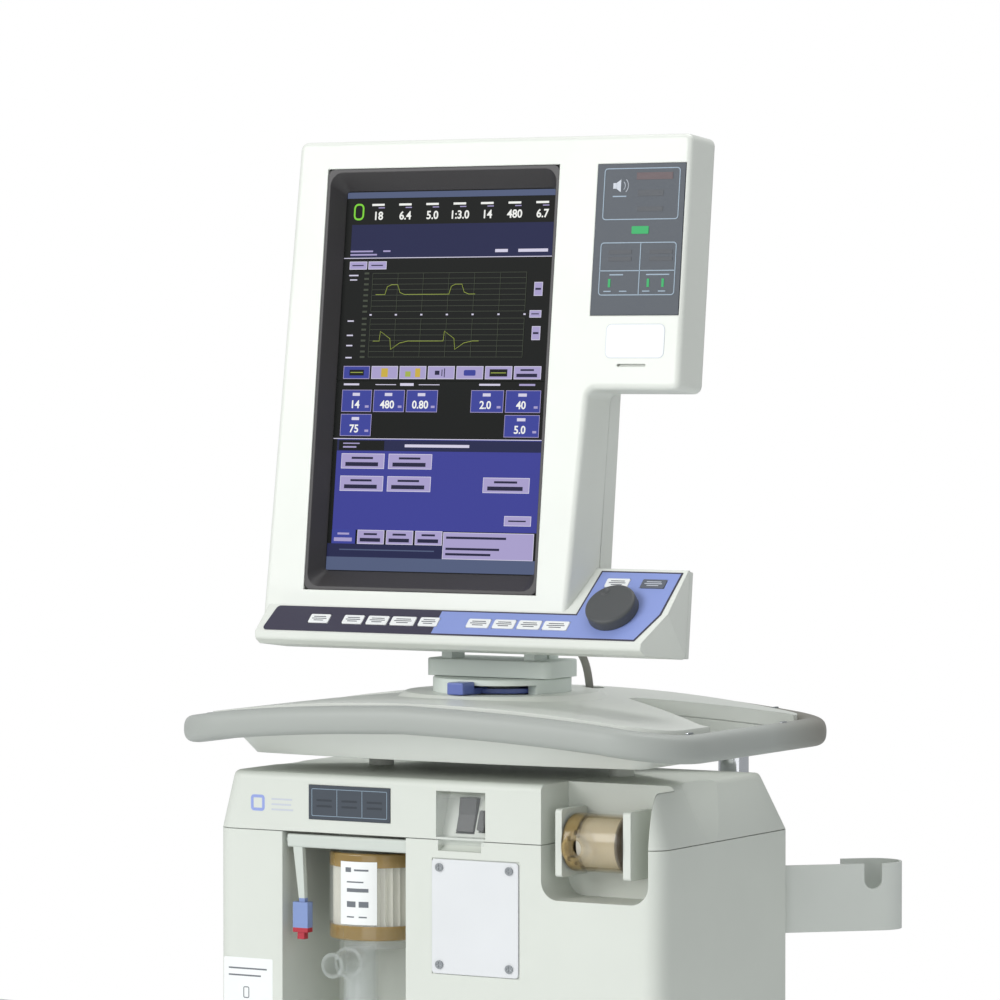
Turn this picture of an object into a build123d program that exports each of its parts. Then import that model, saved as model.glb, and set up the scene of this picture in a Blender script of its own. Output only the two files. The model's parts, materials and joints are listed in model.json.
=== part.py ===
"""Intensive-care ventilator on its wheeled cart, as separate sub-parts.

Millimetres, +Z up, front towards -Y, origin on the floor under the middle of the breathing unit.
The display is modelled upright about its tilt pin, then leaned back and set on its turntable.
"""
from build123d import *
import math
import os

# ---------------------------------------------------------------- driving dimensions
WALL = 3.0                      # moulded wall
SEAM = 0.6                      # visible gap between two mouldings

UNIT_W = 438.0                  # breathing unit, across
UNIT_FRONT, UNIT_BACK = -115.0, 118.0
UNIT_BOTTOM, UNIT_SEAM_Z, UNIT_TOP = 615.0, 895.0, 945.0
UNIT_Y, UNIT_D = (UNIT_FRONT + UNIT_BACK) / 2, UNIT_BACK - UNIT_FRONT
UNIT_CORNER_R, UNIT_REAR_R = 18.0, 5.0
TOP_INSET_X, TOP_INSET_BACK = 13.0, 26.0    # how far the top cover slopes in

BAY_X0, BAY_X1, BAY_BACK, BAY_BOTTOM = -150.0, -26.0, -22.0, 640.0      # expiratory bay
POCKET_X0, POCKET_X1, POCKET_BACK, POCKET_BOTTOM = 106.0, 207.0, -68.0, 849.0   # inspiratory pocket
SWITCH_X0, SWITCH_X1, SWITCH_Z0, SWITCH_Z1 = 4.0, 52.0, 897.0, 936.0
GUARD_Y, GUARD_Z = UNIT_FRONT + 1.4, SWITCH_Z1 - 4.4    # hinge of the clear guard
SWITCH_SLOPE = 20.0             # the switch plate leans back, degrees
PLATE_X0, PLATE_X1, PLATE_Z0, PLATE_Z1 = 0.5, 84.5, 781.5, 878.5
STATUS_X0, STATUS_X1, STATUS_Z0, STATUS_Z1 = -123.0, -41.0, 906.0, 936.0

FILTER_X, FILTER_Y, FILTER_R = -82.0, -68.0, 42.0       # expiratory filter axis and radius
FILTER_Z0, FILTER_Z1 = 803.0, 878.0
DRUM_Y, DRUM_Z, DRUM_R = -93.0, 897.0, 24.5             # inspiratory filter drum, axis along X
DRUM_X0, DRUM_X1 = 124.5, 182.0
PORT_R, PORT_BORE = 11.0, 8.0                           # 22 mm breathing-tube cones, as straight stubs

BRACKET_X, BRACKET_ANGLE = 207.0, 43.0                  # hose bracket: its root, and its swing from the back face

HANDLE_HALF_W = 254.0
HANDLE_FRONT, HANDLE_BACK = -172.0, 160.0
HANDLE_FRONT_R, HANDLE_BACK_R = 70.0, 38.0
RAIL_W, RAIL_H = 25.0, 24.0
HANDLE_MID_Z, HANDLE_DROP = 998.5, 21.5                # rail centre height in the middle, and its fall at the sides
HANDLE_UNDER_Z = 960.0
FOOT_X, FOOT_R = 120.0, 11.0                            # feet that rest on the breathing unit
HANDLE_PAD_Z = 1010.0                                   # flat seat under the turntable

AXIS_Y = 4.0                                           # swivel axis
TURN_R, TURN_TOP = 60.0, 1026.5
SPINDLE_R, SPINDLE_GAP = 20.0, 0.08
COLLAR_Z0, COLLAR_Z1, COLLAR_W, COLLAR_D = 1027.0, 1042.0, 123.0, 56.0
GLAND_X, GLAND_Z = 30.0, 1052.0
LEVER_TRAVEL = 45.0

TILT_Y, TILT_Z, TILT_REST = -10.0, 1062.0, 6.5          # tilt pin, and how far the display leans back
PIN_R, PIN_GAP = 5.0, 0.06

# display, about the tilt pin and upright: x across, y back, z up
D_FRONT, D_PARTING, D_MID, D_BACK, CONSOLE_BACK = -71.0, -35.0, -13.0, 45.0, -35.0
D_LEFT_TOP, D_LEFT_BOTTOM, D_RIGHT, CONSOLE_RIGHT = -183.0, -193.0, 207.5, 206.0
D_TOP, D_BOTTOM = 423.0, -17.0
NOTCH_X_TOP, NOTCH_X_BOTTOM, NOTCH_Z = 121.0, 118.0, 206.5
FOOT_INSET, FOOT_TALL = 7.0, 24.0       # the lower left corner is cut back
WING_DRAFT, NOTCH_DRAFT_TOP, NOTCH_DRAFT_BOTTOM = 3.0, 3.0, 11.0   # how much narrower the front face is
SCREEN_X, SCREEN_W, SCREEN_H, SCREEN_Z = -36.5, 208.0, 330.0, 215.0
SURROUND_W, SURROUND_H, SCREEN_DEPTH = 231.0, 366.5, 16.0
CONSOLE_ANGLE = 50.0            # steepness of the key panel
STRIP_TOP_Z, STRIP_BOTTOM_Z, CONSOLE_TOP_Z = 18.0, -7.0, 58.0
ALARM_X0, ALARM_X1, ALARM_Z0, ALARM_Z1 = 116.5, 201.0, 269.0, 398.0
SLOT_X0, SLOT_X1, SLOT_Z = 145.0, 172.0, 227.0
KEY_TALL, KEY_GAP, KEY_DEEP, KEY_PROUD = 10.0, 0.3, 4.5, 1.3
OVERLAY = 0.5
KNOB_X, KNOB_Z, KNOB_R, KNOB_H = 154.5, 19.5, 22.5, 10.0
LATCH_Y, LATCH_Z, LATCH_PIN_R = UNIT_FRONT + 8, 887.5, 2.5
CROSS_SLOT = 0.9                # width of the screws' slots
SCALLOP_R, SCALLOP_DEPTH, SCALLOP_Y = 70.0, 7.0, -22.0

CAB_Z0, CAB_Z1 = 276.0, 611.0                           # compressor cabinet
BATTERY_X, BATTERY_Y0, BATTERY_Y1, BATTERY_Z0, BATTERY_Z1 = 122.0, -122.0, 112.0, 190.4, 272.0
POST_X, POST_Y, POST_R, POST_TOP = 155.0, 140.0, 13.3, 971.0
BASE_W, BASE_D, BASE_Z0, BASE_Z1 = 582.0, 602.0, 122.0, 190.0
FRAME_Z0, FRAME_Z1, DECK = 128.0, 160.0, 8.0
CASTER_X, CASTER_FRONT, CASTER_REAR = 246.0, -238.0, 218.0
WHEEL_R, WHEEL_W, TRAIL, PEDAL_Z = 50.0, 24.0, 30.0, 96.0
STEM_R, STEM_GAP, AXLE_R, AXLE_GAP = 6.0, 0.06, 5.0, 0.06

KEYS = [  # name, centre across, width
    ("lock_key", -127.0, 20.0),
    ("contrast_key", -93.0, 20.0),
    ("silence_key", -68.5, 21.0),
    ("reset_key", -43.0, 24.0),
    ("help_key", -17.5, 19.0),
    ("oxygen_key", 31.5, 22.0),
    ("manual_breath_key", 56.5, 21.0),
    ("exhale_pause_key", 81.0, 22.0),
    ("inhale_pause_key", 106.5, 24.0),
]
BIG_KEYS = [("clear_key", 145.0, 22.0), ("accept_key", 179.5, 23.0)]
KEY_Z, BIG_KEY_Z = 5.5, 44.8
MARGIN = 1.5                    # overlay's margin above and below the strip

CABLE_R = 3.5
CABLE_HOLE = (28.0, 114.0, 11.0)     # where the cable drops through the handle: x, y, radius
CABLE_ROUTE = [(30, 45.0, 1052.0), (30, 63, 1052), (30, 84, 1048), (29, 101, 1034), (28, 110, 1013),
               (27, 114, 990), (27, 117, 966), (24, 124, 943), (20, 131, 918), (20, 131, 896)]


# ---------------------------------------------------------------- helpers
def block(x0, x1, y0, y1, z0, z1):
    """Box between two corners."""
    return Pos((x0 + x1) / 2, (y0 + y1) / 2, (z0 + z1) / 2) * Box(abs(x1 - x0), abs(y1 - y0), abs(z1 - z0))


def rod(radius, a, b):
    """Cylinder from point a to point b."""
    a, b = Vector(a), Vector(b)
    return extrude(Plane(a, z_dir=b - a) * Circle(radius), (b - a).length)


def rounded_slab(w, d, r, x, y, z0, z1):
    """Upright slab with rounded corners, centred on x, y."""
    return extrude(Pos(x, y, z0) * RectangleRounded(w, d, r), z1 - z0)


def unit_plan(shrink=0.0, inset_x=0.0, inset_back=0.0):
    """Outline of the breathing unit from above: round front corners, tighter ones behind."""
    plan = Rectangle(UNIT_W - 2 * (shrink + inset_x), UNIT_D - 2 * shrink - inset_back)
    rows = plan.vertices().group_by(Axis.Y)
    plan = fillet(rows[0], UNIT_CORNER_R - shrink)
    plan = fillet(plan.vertices().sort_by(Axis.Y)[-2:], UNIT_REAR_R - shrink)
    return Pos(0, UNIT_Y - inset_back / 2) * plan


def on_xz(points, y0, y1):
    """Prism along Y of a closed outline given as x, z pairs."""
    face = make_face(Polyline(*[(x, y0, z) for x, z in points], close=True))
    return extrude(face, abs(y1 - y0), dir=(0, 1 if y1 > y0 else -1, 0))


def along_x(points, x0, x1):
    """Prism along X of a closed outline given as y, z pairs."""
    face = make_face(Polyline(*[(x0, y, z) for y, z in points], close=True))
    return extrude(face, x1 - x0, dir=(1, 0, 0))


def mirrored(shape):
    return mirror(shape, about=Plane.YZ)


def soften(shape, edges, radii):
    """Fillet with the first radius that the shape takes."""
    for radius in radii:
        try:
            done = fillet(edges, radius)
            if done.is_valid:
                return done
        except Exception:
            continue
    return shape


parts = {}


# ---------------------------------------------------------------- breathing unit
def bay(grow=0.0):
    return block(BAY_X0 - grow, BAY_X1 + grow, UNIT_FRONT - 20, BAY_BACK + grow,
                 BAY_BOTTOM - grow, UNIT_SEAM_Z + grow)


def pocket(grow=0.0):
    """Scooped pocket round the inspiratory filter: round lower corners, open at the top and front."""
    w = POCKET_X1 - POCKET_X0 + 2 * grow
    h = UNIT_TOP + 60 - POCKET_BOTTOM + grow
    sketch = RectangleRounded(w, h, 16 + grow)
    middle = ((POCKET_X0 + POCKET_X1) / 2, UNIT_FRONT - 20, POCKET_BOTTOM - grow + h / 2)
    plane = Plane(middle, x_dir=(1, 0, 0), z_dir=(0, 1, 0))
    return extrude(plane * sketch, POCKET_BACK + grow - (UNIT_FRONT - 20))


def plate_holes(radius, y0, y1):
    return [rod(radius, (x, y0, z), (x, y1, z))
            for x in (PLATE_X0 + 7.5, PLATE_X1 - 8.5) for z in (PLATE_Z0 + 7.5, PLATE_Z1 - 7)]


def finger_scoop(grow=0.0):
    """Hollow under the guard's free edge, for a fingertip."""
    middle = Pos((SWITCH_X0 + SWITCH_X1) / 2 - 1, UNIT_FRONT, UNIT_SEAM_Z - SEAM)
    return middle * Rot(0, 90, 0) * Cylinder(9 + grow, SWITCH_X1 - SWITCH_X0 - 6 + 2 * grow)


def unit_housing():
    top = UNIT_SEAM_Z - SEAM
    outer = extrude(Pos(0, 0, UNIT_BOTTOM) * unit_plan(), top - UNIT_BOTTOM)
    outer = soften(outer, outer.faces().sort_by(Axis.Z)[0].edges(), (4, 2))
    inner = extrude(Pos(0, 0, UNIT_BOTTOM + WALL) * unit_plan(WALL), top + 1 - UNIT_BOTTOM - WALL)
    inner -= bay(WALL)
    inner -= pocket(WALL)
    inner -= finger_scoop(WALL)
    body = outer - inner - bay() - pocket()
    body -= block(-190, 190, UNIT_BACK - 10, UNIT_BACK + 1, 645, 865)           # back opening
    body -= block(PLATE_X0 - SEAM, PLATE_X1 + SEAM, UNIT_FRONT - 1, UNIT_FRONT + 0.8,
                  PLATE_Z0 - SEAM, PLATE_Z1 + SEAM)
    for hole in plate_holes(2.1, UNIT_FRONT - 1, UNIT_FRONT + WALL + 1):
        body -= hole
    return body - finger_scoop()


def top_cover_form(shrink=0.0):
    z0, z1 = UNIT_SEAM_Z - (1 if shrink else 0), UNIT_TOP - shrink
    low = Pos(0, 0, z0) * unit_plan(shrink)
    high = Pos(0, 0, z1) * unit_plan(shrink, TOP_INSET_X, TOP_INSET_BACK)
    return loft([low, high])


def switch_plane():
    """Plane of the leaning switch plate, at its lower edge."""
    tilt = math.radians(SWITCH_SLOPE)
    origin = ((SWITCH_X0 + SWITCH_X1) / 2, UNIT_FRONT + 10, SWITCH_Z0 + 3)
    return Plane(origin, x_dir=(1, 0, 0), z_dir=(0, -math.cos(tilt), math.sin(tilt)))


def switch_well(grow=0.0):
    tilt = math.tan(math.radians(SWITCH_SLOPE))
    z0, z1 = SWITCH_Z0 - grow, SWITCH_Z1 + grow
    depth = UNIT_FRONT + 10 + grow
    return along_x([(UNIT_FRONT - 5, z0), (depth, z0), (depth + (z1 - z0) * tilt, z1), (UNIT_FRONT - 5, z1)],
                   SWITCH_X0 - grow, SWITCH_X1 + grow)


def scallop(side, grow=0.0):
    """Round dish in each sloped side, deeper towards the top."""
    rise, run = UNIT_TOP - UNIT_SEAM_Z, TOP_INSET_X
    slope = math.hypot(rise, run)
    normal = Vector(side * rise / slope, 0, run / slope)
    up = Vector(-side * run / slope, 0, rise / slope)
    foot = Vector(side * UNIT_W / 2, SCALLOP_Y, UNIT_SEAM_Z)
    a = foot + up * 3 + normal * SCALLOP_R
    b = foot + up * slope + normal * (SCALLOP_R - SCALLOP_DEPTH)
    return rod(SCALLOP_R + grow, a - (b - a) * 0.4, b + (b - a) * 0.4)


def top_cover():
    outer = top_cover_form()
    top = outer.faces().sort_by(Axis.Z)[-1]
    outer = soften(outer, top.edges(), (12, 8, 6))
    inner = top_cover_form(WALL) - pocket(WALL) - switch_well(WALL) - scallop(1, WALL) - scallop(-1, WALL)
    body = outer - inner - pocket() - switch_well() - scallop(1) - scallop(-1)
    body -= block(STATUS_X0, STATUS_X1, UNIT_FRONT - 1, UNIT_FRONT + 0.8, STATUS_Z0, STATUS_Z1)
    rocker_hole = extrude(switch_plane() * Pos(-2, 16) * Rectangle(18, 32), 20, both=True)
    breaker_hole = extrude(switch_plane() * Pos(15, 11) * Rectangle(8.4, 19), 20, both=True)
    return body - rocker_hole - breaker_hole


def rear_panel():
    body = rounded_slab(396, 4, 1.9, 0, UNIT_BACK + 2.2, 636, 874)
    for col in range(-3, 4):
        body -= block(-110 + col * 9 - 2, -110 + col * 9 + 2, UNIT_BACK - 1, UNIT_BACK + 6, 770, 850)
    for x, r in ((-60, 9), (-20, 9)):                                           # gas inlets
        body += rod(r, (x, UNIT_BACK + 4, 700), (x, UNIT_BACK + 10, 700))
        body += rod(7, (x, UNIT_BACK + 9, 700), (x, UNIT_BACK + 26, 700))
    socket = block(40, 88, UNIT_BACK + 4, UNIT_BACK + 10, 690, 722)             # mains socket
    body += socket - block(46, 82, UNIT_BACK + 5, UNIT_BACK + 12, 696, 716)
    x, y, z = CABLE_ROUTE[-1]
    tab = block(x - 13, x + 13, UNIT_BACK + 4, y + 11, 864, 869)                # carries the cable gland
    gland = rod(9, (x, y, 868), (x, y, 875)) + rod(6, (x, y, 874), (x, y, z))
    return body + tab + gland


def blank_plate():
    body = block(PLATE_X0, PLATE_X1, UNIT_FRONT - 1.2, UNIT_FRONT + 0.7, PLATE_Z0, PLATE_Z1)
    body = soften(body, body.edges().filter_by(Axis.Y), (3,))
    for hole in plate_holes(2.3, UNIT_FRONT - 2, UNIT_FRONT + 1):
        body -= hole
    return body


def plate_screws():
    screws = []
    heads = plate_holes(3.6, UNIT_FRONT - 2.6, UNIT_FRONT - 1.25)
    shanks = plate_holes(1.9, UNIT_FRONT - 1.3, UNIT_FRONT + 8)
    for head, shank in zip(heads, shanks):
        centre = head.center()
        cross = Box(4.6, 1.2, CROSS_SLOT) + Box(CROSS_SLOT, 1.2, 4.6)
        screws.append(head + shank - Pos(centre.X, UNIT_FRONT - 2.6, centre.Z) * cross)
    return Compound(children=screws)


def status_panel():
    return block(STATUS_X0 + 0.3, STATUS_X1 - 0.3, UNIT_FRONT - 0.6, UNIT_FRONT + 0.7,
                 STATUS_Z0 + 0.3, STATUS_Z1 - 0.3)


def power_rocker():
    """Rocker with its pivot behind the plate; the lower half is pressed in."""
    profile = Polyline((-14.5, 0.6), (0, 1.2), (14.5, 4.2), (14.5, -6), (-14.5, -6), close=True)
    body = extrude(Plane.YZ * make_face(profile), 16.4 / 2, both=True)
    pin = Pos(0, 0, -3) * Rot(0, 90, 0) * Cylinder(1.5, 17.6)
    return body + pin


def seat_on_switch(shape, x, up):
    """Put a piece modelled flat (x across, y up the plate, z outwards) on the switch plate."""
    return switch_plane().location * Pos(x, up, 0) * shape


def breaker_button():
    body = Box(7.4, 17.6, 8)
    return soften(body, body.edges().filter_by(Axis.Z), (1.5,))


def switch_guard():
    """Clear hinged flap over the switches."""
    x0, x1 = SWITCH_X0 + 1.2, SWITCH_X1 - 1.2
    flap = block(x0, x1, UNIT_FRONT - 2.4, UNIT_FRONT - 0.6, SWITCH_Z0 - 6, GUARD_Z + 0.6)
    knuckle = rod(2.2, (x0, GUARD_Y, GUARD_Z), (x1, GUARD_Y, GUARD_Z))
    web = block(x0, x1, UNIT_FRONT - 2.4, GUARD_Y, GUARD_Z - 1.4, GUARD_Z + 0.6)
    return flap + knuckle + web


def exp_filter_shell():
    body = rod(FILTER_R, (FILTER_X, FILTER_Y, FILTER_Z0), (FILTER_X, FILTER_Y, FILTER_Z1))
    body = soften(body, body.edges(), (2,))
    body -= rod(FILTER_R - 2.2, (FILTER_X, FILTER_Y, FILTER_Z0 + 10), (FILTER_X, FILTER_Y, FILTER_Z1 - 8))
    return body


def filter_media():
    """Pleated paper in both filters."""
    teeth, ring_out, ring_in = 36, FILTER_R - 3.2, FILTER_R - 9
    points = []
    for k in range(teeth):
        for share, r in ((0, ring_out), (0.5, ring_in)):
            a = 2 * math.pi * (k + share) / teeth
            points.append((FILTER_X + r * math.cos(a), FILTER_Y + r * math.sin(a), FILTER_Z0 + 10.5))
    tall = extrude(make_face(Polyline(*points, close=True)), FILTER_Z1 - FILTER_Z0 - 19)
    tall -= rod(20, (FILTER_X, FILTER_Y, FILTER_Z0), (FILTER_X, FILTER_Y, FILTER_Z1))
    flat = rod(DRUM_R - 4, (DRUM_X0 + 14, DRUM_Y, DRUM_Z), (DRUM_X1 - 5, DRUM_Y, DRUM_Z))
    flat -= rod(8, (DRUM_X0, DRUM_Y, DRUM_Z), (DRUM_X1, DRUM_Y, DRUM_Z))
    return Compound(children=[tall, flat])


def collector_vial():
    """Clear patient port, drop tube and water cup under the expiratory filter."""
    x, y, z = FILTER_X - 14, FILTER_Y - 6, 782.0
    port_end = UNIT_FRONT - 6
    cap = rod(30, (FILTER_X, FILTER_Y, 795), (FILTER_X, FILTER_Y, FILTER_Z0 - 0.4))
    drop = rod(15, (x, y, 690), (x, y, 796))
    cup = rod(34, (x, y, 650), (x, y, 706))
    cup = soften(cup, cup.edges(), (6, 4))
    port = rod(PORT_R, (x, port_end, z), (x, y, z)) + rod(14, (x, port_end + 26, z), (x, y, z))
    body = cap + drop + cup + port
    hollow = rod(32, (x, y, 652), (x, y, 703)) + rod(13, (x, y, 700), (x, y, 794))
    hollow += rod(PORT_BORE, (x, port_end - 1, z), (x, y, z))
    return body - hollow


def insp_filter_shell():
    y_end = UNIT_FRONT - 15
    x_port = DRUM_X0 + 20
    drum = rod(DRUM_R, (DRUM_X0, DRUM_Y, DRUM_Z), (DRUM_X1, DRUM_Y, DRUM_Z))
    drum = soften(drum, drum.edges(), (5, 3))
    inside = rod(DRUM_R - 2, (DRUM_X0 + 3, DRUM_Y, DRUM_Z), (DRUM_X1 - 3, DRUM_Y, DRUM_Z))
    port = rod(PORT_R, (x_port, y_end, DRUM_Z - 2), (x_port, DRUM_Y, DRUM_Z - 2))
    ring = rod(15, (x_port, DRUM_Y - DRUM_R - 1, DRUM_Z - 2), (x_port, DRUM_Y, DRUM_Z - 2))
    bore = rod(PORT_BORE, (x_port, y_end - 1, DRUM_Z - 2), (x_port, DRUM_Y, DRUM_Z - 2))
    return drum + port + ring - inside - bore


def insp_cradle():
    """Two cheeks and a back strap that hold the inspiratory filter."""
    z0, z1 = DRUM_Z - 28.5, DRUM_Z + 28.5
    rear = POCKET_BACK - 0.1
    body = block(DRUM_X0 - 6.5, DRUM_X0 - 0.3, UNIT_FRONT + 3, rear, z0, z1)
    body += block(DRUM_X1 + 0.3, DRUM_X1 + 7.5, UNIT_FRONT + 3, rear, z0, z1)
    body = soften(body, body.edges().filter_by(Axis.X), (3,))
    return body + block(DRUM_X0 - 3, DRUM_X1 + 3, rear - 0.2, rear, z0 + 4, z1 - 4)


def filter_latch():
    """Bar over the filter with its hanging release arm, turning about the bar's pin."""
    bar = block(BAY_X0 + 4, BAY_X1 - 1, LATCH_Y - 6, LATCH_Y + 4, LATCH_Z - 6.5, LATCH_Z + 5)
    bar = soften(bar, bar.edges().filter_by(Axis.X), (2, 1))
    arm = on_xz([(-141, 882), (-131.5, 882), (-129, 832), (-134.5, 832)], UNIT_FRONT + 3, UNIT_FRONT + 8)
    pad = block(-140, -125, UNIT_FRONT + 1, UNIT_FRONT + 9, 808, 834)
    tip = block(-136, -129, UNIT_FRONT + 2, UNIT_FRONT + 8, 802, 809)
    pin = rod(LATCH_PIN_R, (BAY_X0 + 0.5, LATCH_Y, LATCH_Z), (BAY_X1 - 0.5, LATCH_Y, LATCH_Z))
    return bar + arm + pad + tip + pin


def gas_block():
    """Valve manifold and flow tubes inside the unit."""
    body = block(-10, 190, -20, 90, 660, 800)
    body += rod(16, (150, -64, 830), (150, 60, 830)) + block(130, 170, 30, 80, 790, 840)
    return body


def hose_bracket():
    """Sheet hook for hoses at the back right corner: a plate, a wide bend and a short return leaf."""
    t, bend, z0, z1 = 2.0, 24.0, 803.5, 862.0
    span, leaf, notch_x, notch_r, notch_z = 97.0, 24.0, 88.5, 8.0, 848.0
    front = block(0, span, 0, t, z0, z1)
    ring = rod(bend, (span, bend, z0), (span, bend, z1))
    ring -= rod(bend - t, (span, bend, z0 - 1), (span, bend, z1 + 1))
    fold = ring & block(span, span + bend + 1, -1, 2 * bend + 1, z0, z1)
    back = block(span - leaf, span, 2 * bend - t, 2 * bend, z0, z1)
    notch = block(notch_x - notch_r, notch_x + notch_r, -1, t + 1, notch_z, z1 + 1)
    notch += rod(notch_r, (notch_x, -1, notch_z), (notch_x, t + 1, notch_z))
    arm = Pos(BRACKET_X, UNIT_BACK + 0.6, 0) * Rot(0, 0, BRACKET_ANGLE) * (front + fold + back - notch)
    foot = block(BRACKET_X - 5, BRACKET_X + 2, UNIT_BACK + 0.2, UNIT_BACK + 2.4, z0, z1)
    return arm + foot


# ---------------------------------------------------------------- handle
def handle_outline(inset=0.0):
    """Plan of the handle: gently bowed front and back, straight sides, larger corners in front."""
    w = HANDLE_HALF_W - inset
    front, back = HANDLE_FRONT + inset, HANDLE_BACK - inset
    r, s = max(HANDLE_FRONT_R - inset, 12.0), max(HANDLE_BACK_R - inset, 12.0)
    bow_front, bow_back = 12.0, 8.0
    right = [ThreePointArc((0, front), ((w - r) / 2, front + bow_front * 0.25), (w - r, front + bow_front)),
             Line((w, front + bow_front + r), (w, back - bow_back - s)),
             ThreePointArc((w - s, back - bow_back), ((w - s) / 2, back - bow_back * 0.25), (0, back))]
    right.insert(1, JernArc(right[0] @ 1, (1, 0), r, 90))
    right.insert(3, JernArc(right[2] @ 1, (0, 1), s, 90))
    half = Curve() + right
    left = mirror(half, about=Plane.YZ)
    return make_face(half + left)


def arched(low, high):
    """Slab between two arches, as heights above the rail's centre line, running front to back."""
    w = HANDLE_HALF_W + 12
    drop = HANDLE_DROP * (w / HANDLE_HALF_W) ** 2

    def arch(offset):
        z = HANDLE_MID_Z + offset
        return ThreePointArc((-w, -260, z - drop), (0, -260, z), (w, -260, z - drop))
    z0, z1 = HANDLE_MID_Z + low - drop, HANDLE_MID_Z + high - drop
    ends = [Line((s * w, -260, z0), (s * w, -260, z1)) for s in (-1, 1)]
    return extrude(make_face(Curve() + [arch(low), arch(high), *ends]), 520, dir=(0, 1, 0))


def prism(sketch, z0, z1):
    return extrude(Pos(0, 0, z0) * sketch, z1 - z0)


def hand_hole(grow=0.0):
    """Triangular grip opening in the right arm; the rail closes its outer side."""
    edge = HANDLE_HALF_W - RAIL_W + 6
    corners = [(92 - grow * 2, 52), (edge, -58 - grow * 1.6), (edge, 118 + grow * 1.6)]
    line = FilletPolyline(*corners, close=True, radius=11 + grow)
    return prism(make_face(line), 930, 1060)


def handle_rail():
    ring = prism(handle_outline() - handle_outline(RAIL_W), 900, 1060)
    return ring & arched(-RAIL_H / 2, RAIL_H / 2)


def handle_upper_shell():
    gap = RAIL_W + 0.3
    body = prism(handle_outline(gap), 900, 1060) & arched(0.3, RAIL_H / 2 + 1)
    pad = loft([Pos(0, AXIS_Y, 1000) * Circle(104), Pos(0, AXIS_Y, HANDLE_PAD_Z + 4.0) * Circle(84)])
    body += pad
    body -= arched(-40, RAIL_H / 2 - 3) & prism(handle_outline(gap + WALL), 900, 1060)
    walls = hand_hole(WALL) + mirrored(hand_hole(WALL))
    body += walls & arched(0.3, RAIL_H / 2) & prism(handle_outline(gap), 900, 1060)
    body -= hand_hole() + mirrored(hand_hole())
    body -= rod(TURN_R + 0.3, (0, AXIS_Y, HANDLE_PAD_Z), (0, AXIS_Y, 1060))
    body -= rod(CABLE_HOLE[2], (*CABLE_HOLE[:2], 900), (*CABLE_HOLE[:2], 1060))
    return body - rod(SPINDLE_R + 3, (0, AXIS_Y, 900), (0, AXIS_Y, 1060))


def handle_lower_shell():
    def dish(shrink):
        low = Pos(0, 0, HANDLE_UNDER_Z + shrink) * handle_outline(62 + shrink)
        high = Pos(0, 0, HANDLE_MID_Z + 2) * handle_outline(RAIL_W + 0.3 + shrink)
        return loft([low, high])
    body = dish(0) & arched(-80, 0)
    body -= dish(WALL)
    walls = (hand_hole(WALL) + mirrored(hand_hole(WALL))) & dish(0) & arched(-80, 0)
    body += walls
    body -= hand_hole() + mirrored(hand_hole())
    for x in (-POST_X, POST_X):
        body -= rod(POST_R + 0.3, (x, POST_Y, 900), (x, POST_Y, POST_TOP + 0.3))
    body -= rod(CABLE_HOLE[2], (*CABLE_HOLE[:2], 900), (*CABLE_HOLE[:2], 1060))
    for x in (-FOOT_X, FOOT_X):
        body += rod(FOOT_R, (x, 0, UNIT_TOP + 0.1), (x, 0, HANDLE_UNDER_Z + 1))
    return body


# ---------------------------------------------------------------- turntable
def sector(radius, start, stop, z0, z1):
    """Pie slice about the swivel axis; angles run from the front towards +X."""
    steps = max(2, round((stop - start) / 10))
    rim = []
    for k in range(steps + 1):
        angle = math.radians(start + (stop - start) * k / steps)
        rim.append((radius * math.sin(angle), AXIS_Y - radius * math.cos(angle), z0))
    return extrude(make_face(Polyline((0, AXIS_Y, z0), *rim, close=True)), z1 - z0, dir=(0, 0, 1))


def turntable_ring():
    axis = (0, AXIS_Y)
    body = rod(TURN_R, (*axis, HANDLE_PAD_Z + 0.1), (*axis, TURN_TOP))
    body = soften(body, body.faces().sort_by(Axis.Z)[-1].edges(), (1.5, 1))
    body -= rod(46, (*axis, HANDLE_PAD_Z), (*axis, 1022))
    body -= rod(SPINDLE_R + SPINDLE_GAP, (*axis, 1000), (*axis, 1040))
    body -= sector(80, -14, LEVER_TRAVEL + 14, 1012.6, 1021.4) & rod(70, (*axis, 1000), (*axis, 1040))
    return body


def lock_lever():
    ring = rod(44, (0, AXIS_Y, 1014), (0, AXIS_Y, 1018)) - rod(24, (0, AXIS_Y, 1013), (0, AXIS_Y, 1019))
    arm = block(-5, 5, AXIS_Y - 66, AXIS_Y - 34, 1014, 1019)
    grip = block(-8, 8, AXIS_Y - 81, AXIS_Y - 61, 1014.6, 1025)
    grip = soften(grip, grip.edges(), (1.2, 0.8))
    return ring + arm + grip


def swivel_collar():
    axis = (0, AXIS_Y)
    body = rounded_slab(COLLAR_W, COLLAR_D, 8, 0, AXIS_Y, COLLAR_Z0, COLLAR_Z1)
    body = soften(body, body.faces().sort_by(Axis.Z)[-1].edges(), (1.5, 1))
    body += rod(SPINDLE_R, (*axis, 975), (*axis, COLLAR_Z0 + 1))
    for side in (-1, 1):
        ear = block(side * 36, side * 46, TILT_Y - 11, TILT_Y + 11, COLLAR_Z1 - 1, TILT_Z)
        body += ear + rod(11, (side * 36, TILT_Y, TILT_Z), (side * 46, TILT_Y, TILT_Z))
        body -= rod(PIN_R + PIN_GAP, (side * 30, TILT_Y, TILT_Z), (side * 50, TILT_Y, TILT_Z))
    back = AXIS_Y + COLLAR_D / 2
    body += block(GLAND_X - 10, GLAND_X + 10, back - 16, back, COLLAR_Z1 - 1, GLAND_Z + 8)
    gland = rod(7, (GLAND_X, back - 1, GLAND_Z), (GLAND_X, back + 5, GLAND_Z))
    gland += rod(5, (GLAND_X, back, GLAND_Z), (GLAND_X, CABLE_ROUTE[0][1], GLAND_Z))
    return body + gland


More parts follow.
